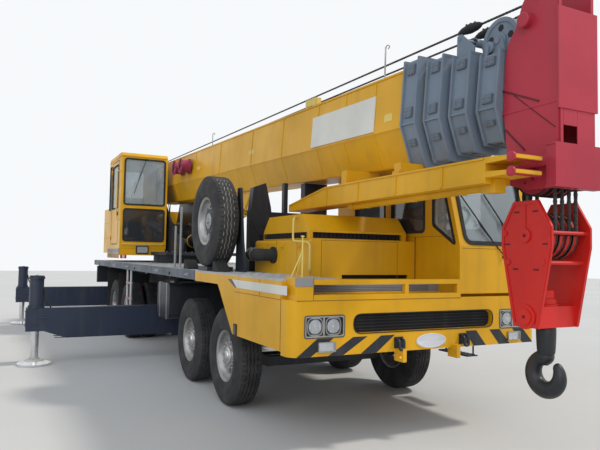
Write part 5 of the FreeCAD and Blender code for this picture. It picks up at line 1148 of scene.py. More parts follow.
def side_point(step, share, upper, sign, out=0.0, proud=0.0):
    """A place on a section's upper side (from the knee up) or lower side (from the knee down)."""
    s = section(step, proud)
    if upper:
        a, b = Vector((s["half"], 19)), Vector((s["roof"], s["top"]))
    else:
        a, b = Vector((s["half"], 19)), Vector((s["floor"], s["low"]))
    spot = a.lerp(b, share)
    run = (b - a).normalized()
    normal = Vector((run.y, -run.x)) if upper else Vector((-run.y, run.x))
    if normal.x < 0:
        normal = -normal
    spot = spot + normal * out
    return Vector((0, sign * spot.x, spot.y)), Vector((0, sign * normal.x, normal.y))


def side_patch(piece, step, along, share, upper, sign, thick, proud=0.0, sink=0.5):
    """A flat plate on a boom's side, between places along it and shares up or down it."""
    corners = []
    for x, s in ((along[0], share[0]), (along[1], share[0]), (along[1], share[1]), (along[0], share[1])):
        spot, normal = side_point(step, s, upper, sign, -sink, proud)
        corners.append(Vector((x, spot.y, spot.z)))
    _, normal = side_point(step, 0.5, upper, sign, 0, proud)
    piece.slab(corners, normal, thick + sink)


def boom_fittings():
    strips = Piece(BOOM)
    for sign in (-1, 1):
        for along in (1500, 2900, 4300, 5700, 6755, 7715, 8330, 8890):
            side_patch(strips, 0, (along - 9, along + 9), (0.02, 0.97), True, sign, 7)
            side_patch(strips, 0, (along - 9, along + 9), (0.03, 0.97), False, sign, 5)
        side_patch(strips, 0, (-240, 9390), (0.955, 0.985), True, sign, 9)
        side_patch(strips, 0, (-240, 9390), (-0.0, 0.03), False, sign, 6)
        side_patch(strips, 0, (-240, 9390), (0.93, 0.97), False, sign, 6)
    strips.box((-240, 9390), (-250, -232), (551, 560))
    strips.box((-240, 9390), (232, 250), (551, 560))
    strips.done("boom_strips", "boom_base", yellow, 1)
    sign_plate = Piece(BOOM)
    side_patch(sign_plate, 0, (7600, 8910), (0.03, 0.70), True, -1, 12, sink=-1)
    sign_plate.done("blank_boom_sign", "boom_base", sign_white, 2)
    small = Piece(BOOM)
    side_patch(small, 0, (9075, 9200), (0.16, 0.30), True, -1, 3)
    for along in (3000, 5600):
        side_patch(small, 0, (along, along + 190), (0.30, 0.42), True, -1, 3)
    small.done("small_plates", "boom_base", pale_yellow, 1)
    lamp = Piece(BOOM)
    lamp.box((7345, 7600), (-285, -205), (556, 650))
    lamp.box((7600, 7618), (-275, -215), (566, 640))
    lamp.box((7400, 7540), (-300, -190), (553, 560))
    lamp.bolts([(x, y, 560) for x in (7410, 7530) for y in (-296, -194)], (0, 0, 1), 7, 5)
    lamp.done("boom_lamp_box", "boom_base", pale_yellow, 6)
    posts = Piece(BOOM)
    for along, top in ((3545, 790), (8897, 895)):
        posts.rod((along, -200, 553), (along, -200, top + 6), 8, 10)
        posts.lathe([(0, 24), (8, 24), (12, 12)], (along, -200, 553), "Z", 14)
        posts.pipe([(along, -200, top), (along + 30, -200, top + 22), (along + 34, -170, top + 14),
                    (along, -170, top - 6)], 5, 15, 8)
    posts.done("rope_guides", "boom_base", steel)
    drums, caps = Piece(BOOM), Piece(BOOM)
    for along in (2080, 2530):
        drums.lathe([(-90, 20), (-90, 148), (-76, 150), (-74, 120), (74, 120), (76, 150), (90, 148), (90, 20)],
                    (along + 90, -440, 285), "Y", 32, closed=True)
        caps.box((along + 40, along + 140), (-352, -330), (150, 420))
        caps.rod((along + 90, -335, 285), (along + 90, -548, 285), 30, 16)
        for angle in turns(5):
            caps.rod((along + 90 + 30 * math.cos(angle), -533, 285 + 30 * math.sin(angle)),
                     (along + 90 + 125 * math.cos(angle), -533, 285 + 125 * math.sin(angle)), 9, 6)
    drums.done("cable_reels", "boom_base", reel_red)
    caps.done("reel_hubs", "boom_base", black, 1)


PAD_SPOTS = (
    # upper side, share up or down it
    (True, 0.86), (True, 0.18), (False, 0.42),
)


def collar_fittings():
    """Flanges, wear-pad plates with bolts and lifting plates on each collar."""
    for step in range(4):
        body = BODIES[step]
        start = 9400 + step * 275
        flange = Piece(BOOM)
        for place, wide in ((start - 3, 22), (start + 196, 22)):
            flange.frame("YZ", outline_of(step, 52), 22, place, place + wide)
        for sign in (-1, 1):
            side_patch(flange, step, (start + 20, start + 198), (-0.01, 0.02), True, sign, 14, 32)
        if step == 0:
            flange.frame("YZ", outline_of(0, 34), 4, start - 1, start + 216)
            flange.frame("YZ", outline_of(0, 33), 62, start + 214, start + 218)
            flange.frame("YZ", outline_of(0, 33), 32, start - 3, start - 1)
        flange.done(f"collar_flange_{step + 1}", body, blue_grey, 2)
        pads = Piece(BOOM)
        heads = Piece(BOOM)
        for upper, share in PAD_SPOTS:
            for sign in (-1, 1):
                side_patch(pads, step, (start + 56, start + 158), (share - 0.08, share + 0.08), upper, sign, 18, 32)
                for x, up in ((start + 78, -0.035), (start + 136, -0.035), (start + 78, 0.035), (start + 136, 0.035)):
                    spot, normal = side_point(step, share + up, upper, sign, 17, 32)
                    heads.bolts([(x, spot.y, spot.z)], normal, 9, 8)
        top = section(step, 32)["top"]
        for y in (-120, 120):
            pads.box((start + 62, start + 152), (y - 45, y + 45), (top - 1, top + 12))
            heads.bolts([(x, y + a, top + 12) for x in (start + 78, start + 136) for a in (-28, 28)], (0, 0, 1), 9, 8)
        low = section(step, 32)["low"]
        pads.box((start + 50, start + 160), (-70, 70), (low - 12, low + 1))
        heads.bolts([(x, a, low - 12) for x in (start + 70, start + 140) for a in (-50, 50)], (0, 0, -1), 9, 8)
        pads.done(f"pad_plates_{step + 1}", body, pad_grey, 2)
        heads.done(f"pad_bolts_{step + 1}", body, blue_grey)
    horn = Piece(BOOM)
    for y in (-215, 203):
        horn.prism("XZ", [(9955, 470), (10162, 470), (10162, 560), (10010, 700), (9975, 706), (9955, 690)], y, y + 12)
    horn.rod((9990, -222, 664), (9990, 222, 664), 16, 14)
    horn.lathe([(-60, 30), (-60, 44), (-48, 34), (48, 34), (60, 44), (60, 30)], (9990, 0, 664), "Y", 28, closed=True)
    horn.done("idler_bracket", "boom_3", blue_grey, 2)


def big_pulley():
    """The rim, hub and arms on the near side of the pulley over the last collar, and five dark discs of painted shade
    where its holes are.
    """
    x, y, z = 9400 + 3 * 275 + 120, -118, 553 - 3 * 44 + 32 + 110
    rim = Piece(BOOM)
    rim.lathe([(0, 187), (-8, 187), (-10, 180), (-10, 156), (-6, 150), (0, 150)], (x, y, z), "Y", 48, closed=True)
    rim.lathe([(0, 62), (-12, 62), (-14, 56), (-14, 30), (0, 30)], (x, y, z), "Y", 36, closed=True)
    rim.done("pulley_rim", "boom_4", blue_grey)
    # Five dark discs on the pulley's face stand for its holes, which are not cut: painted shade.
    opening_shade = Piece(BOOM)
    for angle in turns(5, 0.3):
        across, rise = x + 106 * math.cos(angle), z + 106 * math.sin(angle)
        opening_shade.rod((across, y - 1.5, rise), (across, y + 6, rise), 30, 6)
    opening_shade.done("pulley_opening_shade", "boom_4", soft_black)
    arms = Piece(BOOM)
    arms.lathe([(0, 48), (-26, 48), (-30, 40), (-30, 3)], (x - 70, -150, z - 40), "Y", 28)
    arms.bolts([(x - 70, -180, z - 40)], (0, -1, 0), 20, 12)
    arms.prism("XZ", [(x - 215, z - 150), (x - 190, z - 172), (x - 44, z - 52), (x - 70, z - 22)], -168, -152)
    arms.prism("XZ", [(x - 140, z - 290), (x - 112, z - 296), (x - 44, z - 40), (x - 74, z - 34)], -196, -180)
    arms.done("pulley_arms", "boom_4", blue_grey, 2)


ROPE = 11


def strand_rope(piece, start, end, radius=ROPE, lay=130):
    """A taut rope: four strands laid round its line."""
    start, end = Vector(start), Vector(end)
    run = end - start
    length = run.length
    ahead = run.normalized()
    side = ahead.orthogonal().normalized()
    other = ahead.cross(side)
    steps = max(2, int(length / (lay / 8)))
    for strand in range(4):
        rings = []
        for index in range(steps + 1):
            spot = start + run * (index / steps)
            angle = 2 * math.pi * (length * index / steps / lay) + strand * math.pi / 2
            centre = spot + (side * math.cos(angle) + other * math.sin(angle)) * radius * 0.38
            rings.append([centre + (side * math.cos(a) + other * math.sin(a)) * radius * 0.62 for a in turns(6, angle)])
        piece.tube(rings)


def ropes():
    """Hoist ropes from the winches over the boom's tail and along its top to the head."""
    tail = Piece(BOOM)
    for y in (-95, 95):
        for key in (-1, 1):
            tail.prism("XZ", [(-256, 545), (-60, 545), (-90, 640), (-165, 672), (-220, 640)], y + key * 42 - 5,
                       y + key * 42 + 5)
        tail.lathe([(-30, 40), (-30, 118), (-22, 120), (-8, 102), (8, 102), (22, 120), (30, 118), (30, 40)],
                   (-165, y, 562), "Y", 36, closed=True)
        tail.rod((-165, y - 52, 600), (-165, y + 52, 600), 24, 16)
    tail.done("tail_sheaves", "boom_base", blue_grey, 1.5)
    stops = ((-165, 670), (9680, 774), (9950, 776), (10225, 790), (10560, 806))
    for index, (start, end) in enumerate(zip(stops, stops[1:])):
        line = Piece(BOOM)
        spread = (1, 1, 1, 0.8, 0.55)
        for y in (-95, 95):
            strand_rope(line, (start[0], y * spread[index], start[1]), (end[0], y * spread[index + 1], end[1]))
        part = line.done(f"hoist_rope_{index + 1}", None, rope_steel)
        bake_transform(part)
    drum = Piece()
    for back, level in ((8720, 2100), (9700, 2150)):
        turns_on = 26
        wraps = []
        for layer, radius in ((0, 191), (1, 211)):
            for index in range(turns_on):
                y = -255 + index * 20 + (10 if layer else 0)
                if y > 252:
                    continue
                drum.lathe([(-10, radius - 6), (-7, radius + 7), (0, radius + 11), (7, radius + 7), (10, radius - 6)],
                           (at(back), y, level), "Y", 40)
    drum.done("wound_rope", "superstructure", rope_steel)
    rise = Piece()
    for back, level, y in ((8720, 2100, -95), (9700, 2150, 95)):
        end = BOOM @ (Vector((-165 - 112, y, 570)) * MM) / MM
        strand_rope(rise, (at(back) - 190, y, level + 90), end)
    leads = rise.done("winch_leads", None, rope_steel)
    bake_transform(leads)
    anchor = Piece(BOOM)
    for along, y in ((9960, -95), (9960, 95)):
        anchor.tube([[(along + x, y + r * math.cos(a), 779 + r * math.sin(a)) for a in turns(14)]
                     for x, r in ((-120, 12), (-70, 30), (20, 42), (90, 36), (130, 24), (150, 12))])
        anchor.bolts([(along - 30 + i * 50, y, 818 - i * 3) for i in range(3)], (0, 0, 1), 9, 12)
    anchor.done("rope_anchors", "boom_3", soft_black)


# Head, jib and hook block

TIP = BUMPER + 1620
SHEAVE_X = TIP - 290


def head_fittings():
    plates, crease_shade = Piece(), Piece()
    for sign in (-1, 1):
        y = sign * 178
        out = sign * 6
        low, high = sorted((y - sign, y + out))
        plates.prism("XZ", [(TIP - 30, 3560), (TIP - 118, 3726), (TIP - 200, 3728), (TIP - 196, 3716),
                            (TIP - 124, 3714), (TIP - 44, 3560)], low, high)
        plates.prism("XZ", [(TIP - 40, 2500), (TIP - 24, 2500), (TIP - 24, 3540), (TIP - 40, 3540)], low, high)
        plates.rod((SHEAVE_X, y - sign, 2300), (SHEAVE_X, y + sign * 10, 2300), 90, 36)
        plates.prism("XZ", [(5880, 2768), (TIP - 22, 2768), (TIP - 22, 2792), (5880, 2792)], *sorted((y - sign, y + sign * 4)))
        # Thin dark red strips along the creases of the head's side plates: painted shade where the plates fold.
        for x0, z0, x1, z1 in ((5880, 2956, 6220, 2804), (5993, 2895, 6356, 2594), (5909, 2652, 6094, 2469)):
            run = Vector((x1 - x0, 0, z1 - z0)).normalized()
            side = Vector((-run.z, 0, run.x)) * (7 if x0 != 5993 else 3)
            a, b = Vector((x0, y, z0)), Vector((x1, y, z1))
            crease_shade.slab([a - side, b - side, b + side, a + side], (0, sign, 0), 5)
    plates.done("head_doublers", "boom_top", head_red, 1.5)
    crease_shade.done("head_crease_shade", "boom_top", dark_red_and_shade)
    pins, nuts = Piece(), Piece()
    for sign in (-1, 1):
        pins.lathe([(0, 56), (22, 56), (28, 48), (28, 3)] if sign > 0 else [(0, 56), (-22, 56), (-28, 48), (-28, 3)],
                   (TIP - 295, sign * 203, 3419), "Y", 32)
        pins.lathe([(0, 44), (16, 44), (20, 36), (20, 3)] if sign > 0 else [(0, 44), (-16, 44), (-20, 36), (-20, 3)],
                   (SHEAVE_X, sign * 190, 2300), "Y", 28)
        nuts.bolts([(SHEAVE_X + 72 * math.cos(a), sign * 188, 2300 + 72 * math.sin(a)) for a in turns(6, 0.3)],
                   (0, sign, 0), 9, 9)
    pins.done("head_pins", "boom_top", head_red)
    nuts.done("head_bolts", "boom_top", dark_red_and_shade)
    grooves = Piece()
    for index in range(4):
        y = (index - 1.5) * 70
        grooves.lathe([(-24, 150), (-24, 164), (-19, 165), (-6, 152), (6, 152), (19, 165), (24, 164), (24, 150)],
                      (SHEAVE_X, y, 2300), "Y", 44, closed=True)
    grooves.lathe([(-26, 140), (-26, 155), (-20, 156), (-6, 142), (6, 142), (20, 156), (26, 155), (26, 140)],
                  (TIP - 295, 0, 3419), "Y", 44, closed=True)
    grooves.done("head_sheave_rims", "boom_top", iron)
    lead = Piece()
    strand_rope(lead, (TIP - 295 - 60, -20, 3419 + 140), (TIP - 200, -20, 3500), 10)
    strand_rope(lead, (TIP - 295 + 150, -10, 3419), (SHEAVE_X + 166, -30, 2330), 10)
    lead.done("head_rope", "boom_top", rope_steel)
    window = Piece()
    window.box((TIP - 18, TIP - 12), (-9, 176), (2478, 2724))
    window.box((TIP - 18, TIP - 12), (-176, -148), (2478, 2724))
    window.box((TIP - 18, TIP - 12), (-148, -9), (2606, 2724))
    for z in (2177, 2466):
        window.box((TIP - 84, TIP + 0), (-246, 246), (z - 1, z + 15))
    for y in (-150, 0, 150):
        window.box((TIP - 4, TIP), (y - 6, y + 6), (2190, 2468))
    window.done("head_front_ribs", "boom_top", head_red, 1.5)


def jib_fittings():
    edge = Piece(BOOM)
    for y in (-545, -295):
        low, high = sorted((y, y + (6 if y > -400 else -6) * -1))
        edge.prism("XZ", [(7520, -640), (8369, -482), (10640, -417), (10640, -432), (8369, -498), (7530, -655)],
                   y - 4, y + 4)
        edge.prism("XZ", [(7520, -716), (10640, -598), (10640, -584), (7520, -702)], y - 4, y + 4)
        for along, low, high in ((8400, -684, -500), (9000, -660, -484), (9600, -638, -468), (10200, -614, -450)):
            edge.box((along - 7, along + 7), (y - 4, y + 4), (low, high))
    edge.done("jib_flanges", "boom_base", yellow, 1)
    pins = Piece(BOOM)
    for level in (-433, -533):
        pins.rod((10890, -556, level), (10890, -284, level), 24, 20)
        pins.lathe([(0, 36), (-10, 36), (-14, 22)], (10890, -540, level), "Y", 20)
    pins.done("jib_pins", "boom_base", head_red)
    brackets = Piece(BOOM)
    for along in (9000, 9700, 10300):
        top = -560 + (along - 7500) * 0.038 - 40
        brackets.box((along - 30, along + 30), (-440, -400), (-730 + (along - 8700) * 0.044, -600 + (along - 8700) * 0.05))
    brackets.bolts([(9470, -425, -352)], (0, -1, 0), 10, 8)
    brackets.done("jib_tube_brackets", "boom_base", yellow, 2)
    strut = Piece(BOOM)
    strut.box((9455, 9485), (-432, -414), (-520, -340))
    strut.box((9440, 9500), (-440, -406), (-420, -408))
    strut.box((9435, 9505), (-436, -300), (-345, -335))
    strut.done("jib_strut", "boom_base", yellow, 2)


HOOK_STATIONS = (
    # angle round the ring in degrees, thickness of the bar against its full radius
    (64, 0.2), (72, 0.75), (84, 1.0), (110, 0.98), (125, 0.96), (160, 1.0), (195, 1.06), (230, 1.1), (265, 1.12),
    (300, 1.06), (335, 0.95), (370, 0.76), (395, 0.56), (402, 0.40), (405, 0.2),
)


def smooth_hook():
    """The forged hook: a tapered shank and a round bar that thins towards its tip."""
    form = Piece()
    form.lathe([(975, 40), (990, 52), (1015, 62), (1060, 66), (1130, 69), (1180, 70), (1195, 66), (1196, 45), (1300, 45),
                (1300, 3)], (SHEAVE_X, 0, 0), "Z", 32)
    rings = []
    for (first, thick), (second, thin) in zip(HOOK_STATIONS, HOOK_STATIONS[1:]):
        for step in range(4):
            share = step / 4
            angle = math.radians(first + (second - first) * share)
            size = 57 * (thick + (thin - thick) * share)
            out = Vector((math.cos(angle), 0, math.sin(angle)))
            middle = Vector((SHEAVE_X, 0, 860)) + out * 115
            rings.append([middle + out * size * math.cos(a) + Vector((0, size * math.sin(a), 0)) for a in turns(20)])
    form.tube(rings)
    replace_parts(form.done("forged_hook", "hook", hook_black), "hook")


def block_fittings():
    parts, bolts = Piece(), Piece()
    for sign in (-1, 1):
        y = sign * 205
        low, high = sorted((y - sign, y + sign * 7))
        outline = [(SHEAVE_X - 110, 1204), (SHEAVE_X + 110, 1204), (SHEAVE_X + 221, 1770), (SHEAVE_X + 221, 1908),
                   (SHEAVE_X + 110, 2096), (SHEAVE_X - 110, 2096), (SHEAVE_X - 221, 1908), (SHEAVE_X - 221, 1770)]
        parts.frame("XZ", outline, 24, low, high)
        parts.rod((SHEAVE_X, y, 1850), (SHEAVE_X, y + sign * 14, 1850), 50, 30)
        parts.rod((SHEAVE_X, y, 1275), (SHEAVE_X, y + sign * 11, 1275), 88, 36)
        parts.rod((SHEAVE_X, y + sign * 10, 1275), (SHEAVE_X, y + sign * 22, 1275), 60, 32)
        parts.prism("XZ", [(SHEAVE_X - 7, 1895), (SHEAVE_X + 7, 1895), (SHEAVE_X + 7, 2080), (SHEAVE_X - 7, 2080)],
                    *sorted((y, y + sign * 4)))
        for a, b in ((160, -190), (-160, -190), (190, 20), (-190, 20)):
            parts.rod((SHEAVE_X + a, y, 1850 + b), (SHEAVE_X + a, y + sign * 9, 1850 + b), 22, 20)
        # Small dark red bars on the doublers stand for slots, which are not cut: painted shade. The piece also holds
        # real bolt heads.
        for x, z in ((-80, 2021), (88, 2021), (-168, 1790), (172, 1790), (-92, 1610), (92, 1610)):
            bolts.box((SHEAVE_X + x - 24, SHEAVE_X + x + 24), sorted((y - sign, y + sign * 2)), (z - 6, z + 6))
        bolts.bolts([(SHEAVE_X, y + sign * 14, 1850), (SHEAVE_X, y + sign * 21, 1275)], (0, sign, 0), 13, 5)
    parts.done("block_doublers", "hook_block", red, 2)
    bolts.done("block_slot_shade_and_bolts", "hook_block", dark_red_and_shade)
    grooves = Piece()
    for index in range(4):
        y = (index - 1.5) * 70
        grooves.lathe([(-24, 156), (-24, 170), (-19, 171), (-7, 158), (7, 158), (19, 171), (24, 170), (24, 156)],
                      (SHEAVE_X, y, 1850), "Y", 44, closed=True)
    grooves.done("block_sheave_rims", "hook_block", iron)
    falls = Piece()
    line = 160 + 10.4
    for index in range(4):
        y = (index - 1.5) * 70
        for shift in (line, -line):
            strand_rope(falls, (SHEAVE_X + shift, y, 1850), (SHEAVE_X + shift, y, 2300), 15, 240)
    falls.done("rope_falls", "hook_block", rope_steel)
    nut = Piece()
    nut.lathe([(1349, 84), (1362, 84), (1368, 74), (1400, 74), (1404, 62), (1462, 60), (1468, 50), (1468, 3)],
              (SHEAVE_X, 0, 0), "Z", 28)
    nut.done("crosshead_nut", "hook_block", red)
    smooth_hook()


# Superstructure, outriggers and underside

def upper_fittings():
    bolts = Piece()
    for index in range(36):
        angle = index * math.pi / 18
        bolts.bolts([(at(7850) + 735 * math.cos(angle), 735 * math.sin(angle), 1700)], (0, 0, 1), 13, 14)
    for sign in (-1, 1):
        for x, z, size in ((at(9350), 3150, 112),):
            bolts.bolts([(x + size * math.cos(a), sign * 390, z + size * math.sin(a)) for a in turns(8)],
                        (0, sign, 0), 11, 10)
    bolts.done("turntable_bolts", "superstructure", steel)
    rings = Piece()
    for sign in (-1, 1):
        rings.lathe([(0, 150), (sign * 12, 150), (sign * 14, 140), (sign * 14, 60)], (at(9350), sign * 389, 3150), "Y", 40)
        rings.lathe([(0, 72), (sign * 22, 72), (sign * 26, 60), (sign * 26, 3)], (at(9350), sign * 400, 3150), "Y", 32)
        for x0, z0, x1, z1 in ((at(10100), 1720, at(9600), 2950), (at(8200), 1720, at(9000), 2900)):
            run = Vector((x1 - x0, 0, z1 - z0)).normalized()
            side = Vector((-run.z, 0, run.x)) * 16
            a, b = Vector((x0, sign * 389, z0)), Vector((x1, sign * 389, z1))
            rings.slab([a - side, b - side, b + side, a + side], (0, sign, 0), 12)
    rings.done("cheek_ribs", "superstructure", black, 1.5)
    seams = Piece()
    for z in (2010, 2360):
        for y in (-1251, 1248):
            seams.box((at(11050) + 185, at(10150) - 5), (y, y + 3), (z - 3, z + 3))
        seams.box((at(11050) - 2, at(11050) + 2), (-985, 985), (z - 3, z + 3))
    for y in (-800, 800):
        seams.rod((at(10550), y, 2700), (at(10550), y, 2730), 60, 20)
        seams.pipe([(at(10600), y - 50, 2725), (at(10600), y - 50, 2800), (at(10600), y + 50, 2800),
                    (at(10600), y + 50, 2725)], 13, 30, 10)
    seams.done("weight_seams", "superstructure", dark_yellow)
    hoses = Piece()
    for index in range(3):
        y = -210 + index * 60
        hoses.pipe([(at(8150), y, 1702), (at(8120), y, 1900), (at(8350), y - 60, 2250), (at(8900), y - 100, 2500),
                    (at(9250), y - 130, 2900)], 15, 160, 10)
    hoses.done("hydraulic_hoses", "superstructure", soft_rubber)
    valve = Piece()
    valve.box((at(8230), at(8060)), (-250, 20), (1700, 1790))
    for index in range(4):
        valve.lathe([(0, 18), (30, 18), (34, 12), (50, 12)], (at(8060) - 85, -215 + index * 60, 1790), "Z", 12)
    valve.done("valve_block", "superstructure", iron, 3)
    beacon = Piece()
    beacon.lathe([(0, 45), (20, 45), (24, 38)], (at(9250), -920, 3720), "Z", 24)
    beacon.done("beacon_base", "superstructure", soft_black)
    dome = Piece()
    dome.lathe([(22, 38), (25 - 0, 36), (25, 3)], (at(9250), -920, 3718), "Z", 24)
    dome.done("beacon_dome", "superstructure", amber)


def outrigger_fittings():
    # Key, place behind the bumper, side of the carrier, side of the beam that has the handle
    ends = (("fr", 5280, -1, 1), ("fl", 5540, 1, -1), ("rr", 10750, -1, 1), ("rl", 10490, 1, -1))
    for key, back, sign, grip in ends:
        x = at(back)
        y = sign * 3030
        parts, shiny = Piece(), Piece()
        parts.lathe([(0, 101), (0, 112), (34, 112), (38, 101)], (x, y, 1262), "Z", 32)
        parts.lathe([(0, 100), (7, 104), (15, 96), (17, 30), (22, 26), (22, 3)], (x, y, 1299), "Z", 32)
        parts.lathe([(0, 101), (0, 116), (30, 116), (30, 101)], (x, y, 838), "Z", 32, closed=True)
        parts.bolts([(x + 106 * math.cos(a), y + 106 * math.sin(a), 868) for a in turns(8)], (0, 0, 1), 7, 8)
        for side in (-1, 1):
            face = x + side * 105
            low, high = sorted((face - side, face + side * 2))
            for reach, z in ((2960, 826), (2770, 394)):
                a, b = sorted((sign * 1100, sign * reach))
                parts.box((low, high), (a, b), (z, z + 12))
        parts.pipe([(x + grip * reach, sign * y, 700) for reach, y in
                    ((111, 2890), (145, 2890), (145, 2990), (111, 2990))], 7, 14, 8)
        a, b = sorted((sign * 3164, sign * 3170))
        parts.box((x - 80, x + 80), (a, b), (560, 800))
        parts.bolts([(x + u, sign * 3169, v) for u in (-62, 62) for v in (580, 780)], (0, sign, 0), 9, 7)
        parts.done(f"beam_fittings_{key}", f"beam_{key}", navy, 1.5)
        hose = Piece()
        hose.pipe([(x + 60, sign * 2830, 842), (x + 60, sign * 2860, 900), (x + 40, sign * 2915, 1000),
                   (x + 30, sign * 2934, 1120)], 11, 40, 10)
        hose.done(f"jack_hose_{key}", f"beam_{key}", soft_rubber)
        shiny.lathe([(31, 200), (36, 200), (60, 150), (86, 92), (86, 60)], (x, y, 0), "Z", 36)
        for angle in turns(8, 0.2):
            spot = Vector((math.cos(angle), math.sin(angle), 0))
            across = Vector((-math.sin(angle), math.cos(angle), 0)) * 5
            a = Vector((x, y, 30)) + spot * 225
            b = Vector((x, y, 30)) + spot * 70
            c = Vector((x, y, 96)) + spot * 70
            shiny.add([a - across, b - across, c - across, a + across, b + across, c + across],
                      [(0, 1, 2), (5, 4, 3), (0, 3, 4, 1), (1, 4, 5, 2), (2, 5, 3, 0)])
        shiny.lathe([(88, 57), (88, 74), (104, 74), (108, 66), (108, 57)], (x, y, 0), "Z", 32, closed=True)
        shiny.done(f"float_ribs_{key}", f"jack_{key}", silver)
    box_parts = Piece()
    for low, high in ((at(5280 + 260) - 133, at(5280) + 133), (at(10750) - 133, at(10750 - 260) + 133)):
        for sign in (-1, 1):
            y = sign * 1024
            near, far = sorted((y - sign * 24, y + sign * 3))
            box_parts.frame("XZ", [(low - 14, 355), (high + 14, 355), (high + 14, 868), (low - 14, 868)], 16, near, far)
            for x in (low + 40, (low + high) / 2, high - 40):
                a, b = sorted((sign * 560, sign * 990))
                box_parts.box((x - 6, x + 6), (a, b), (352, 370))
    box_parts.done("housing_flanges", "carrier", navy, 1.5)


def underside():
    """Drive shafts, steering rods, spring leaves, brake chambers and air tanks under the frame."""
    shafts = Piece()
    for start, end, z0, z1 in ((4000, 5800, 975, 955), (5900, 7450, 945, 610), (8050, 8850, 585, 585)):
        a, b = Vector((at(start), 0, z0)), Vector((at(end), 0, z1))
        shafts.rod(a, b, 48, 20)
        for spot in (a, b):
            shafts.rod(spot + Vector((55, 0, 0)), spot - Vector((55, 0, 0)), 70, 16)
    for back in (2000, 3400):
        shafts.rod((at(back + 210), -960, 500), (at(back + 210), 960, 500), 22, 14)
        for sign in (-1, 1):
            shafts.prism("XY", [(at(back + 230), sign * 940), (at(back + 190), sign * 980), (at(back), sign * 965),
                                (at(back), sign * 925)], 470, 500)
    shafts.rod((at(1300), 620, 760), (at(2100), 640, 560), 20, 12)
    shafts.done("drive_shafts", "carrier", iron, 0)
    leaves = Piece()
    for back in (2000, 3400):
        for sign in (-1, 1):
            for index in range(6):
                reach = 620 - index * 88
                points = []
                for t in range(9):
                    x = -reach + reach * 2 * t / 8
                    z = 690 + 46 * (x / 620) ** 2 * 1.6 - index * 13
                    points.append((x, z))
                outline = [(at(back) + x, z) for x, z in points] + [(at(back) + x, z - 11) for x, z in reversed(points)]
                leaves.prism("XZ", outline, sign * 385 - 39, sign * 385 + 39)
            for x in (-90, 90):
                leaves.pipe([(at(back) + x, sign * 385 - 48, 560), (at(back) + x, sign * 385 - 48, 718),
                             (at(back) + x, sign * 385 + 48, 718), (at(back) + x, sign * 385 + 48, 560)], 10, 14, 8)
    leaves.done("spring_leaves", "carrier", iron)
    cans = Piece()
    for back in (7750, 9100):
        for sign in (-1, 1):
            x = at(back) - 260
            cans.lathe([(-95, 40), (-92, 74), (-10, 78), (0, 86), (10, 78), (92, 74), (95, 40)],
                       (x, sign * 460, 640), "Y", 28)
            cans.rod((x, sign * 460, 640), (x + 110, sign * 470, 560), 14, 10)
    cans.lathe([(-420, 20), (-405, 95), (-380, 118), (380, 118), (405, 95), (420, 20)], (at(6180), -690, 1160), "X", 36)
    cans.lathe([(-420, 20), (-405, 95), (-380, 118), (380, 118), (405, 95), (420, 20)], (at(6180), 690, 1160), "X", 36)
    for sign in (-1, 1):
        for shift in (-260, 260):
            x = at(6180) + shift
            cans.lathe([(-14, 119), (-14, 123), (14, 123), (14, 119)], (x, sign * 690, 1160), "X", 36, closed=True)
            cans.box((x - 14, x + 14), sorted((sign * 600, sign * 425)), (1180, 1290))
    cans.done("air_tanks", "carrier", iron)
    flaps = Piece()
    for back in (8420, 9850):
        for sign in (-1, 1):
            a, b = sorted((sign * 660, sign * 1290))
            flaps.box((at(back) - 6, at(back) + 6), (a, b), (420, 1240))
            for index in range(5):
                y = sign * (720 + index * 120)
                flaps.box((at(back) - 10, at(back) + 10), (y - 6, y + 6), (440, 1225))
    flaps.done("mud_flaps", "carrier", soft_rubber, 1)
    straps = Piece()
    for sign in (-1, 1):
        for shift in (160, 560):
            x = at(4150) - shift
            y0, y1 = sorted((sign * 428, sign * 1336))
            straps.frame("YZ", [(y0, 714), (y1, 714), (y1, 1246), (y0, 1246)], 10, x - 22, x + 22)
        straps.lathe([(0, 50), (24, 52), (30, 44), (30, 3)], (at(4500), sign * 1180, 1240), "Z", 24)
    straps.done("tank_straps", "carrier", steel, 1)
    tail = Piece()
    for sign in (-1, 1):
        low, high = sorted((sign * 1050, sign * 1300))
        for index in range(3):
            a = low + 6 + index * 82
            tail.box((at(11200) - 4, at(11200) + 2), (a, a + 74), (1088, 1192))
    tail.done("tail_lamp_lenses", "carrier", lens_red, 2)


def cylinder_fittings():
    angle = math.atan2(3434.36 * 0, 1)
    base = Vector((at(7750), 0, 1880))
    droop = math.radians(1.85)
    eye = Vector((at(9350) + 5000 * math.cos(droop) - 500 * math.sin(droop), 0,
                  3150 - 5000 * math.sin(droop) - 500 * math.cos(droop)))
    run = (eye - base).normalized()
    gland = Piece()

    def ring(low, high, radius, inner):
        side = run.orthogonal().normalized()
        other = run.cross(side)
        rings = []
        for place, size in ((low, inner), (low, radius), (high, radius), (high, inner)):
            rings.append([base + run * place + (side * math.cos(a) + other * math.sin(a)) * size for a in turns(36)])
        gland.tube(rings, closed=True)

    ring(3120, 3204, 142, 129)
    ring(3206, 3214, 120, 82)
    ring(252, 300, 140, 129)
    for place in (900, 1600, 2300, 2950):
        ring(place, place + 40, 136, 129)
    gland.done("barrel_bands", "lift_barrel", yellow, 1)
    lines = Piece()
    side = Vector((0, 1, 0))
    for y in (-60, 60):
        start = base + run * 420 + Vector((0, y, 0)) + Vector((-run.z, 0, run.x)) * 128
        end = base + run * 3080 + Vector((0, y, 0)) + Vector((-run.z, 0, run.x)) * 128
        lines.rod(start, end, 12, 10)
    lines.done("barrel_lines", "lift_barrel", steel)


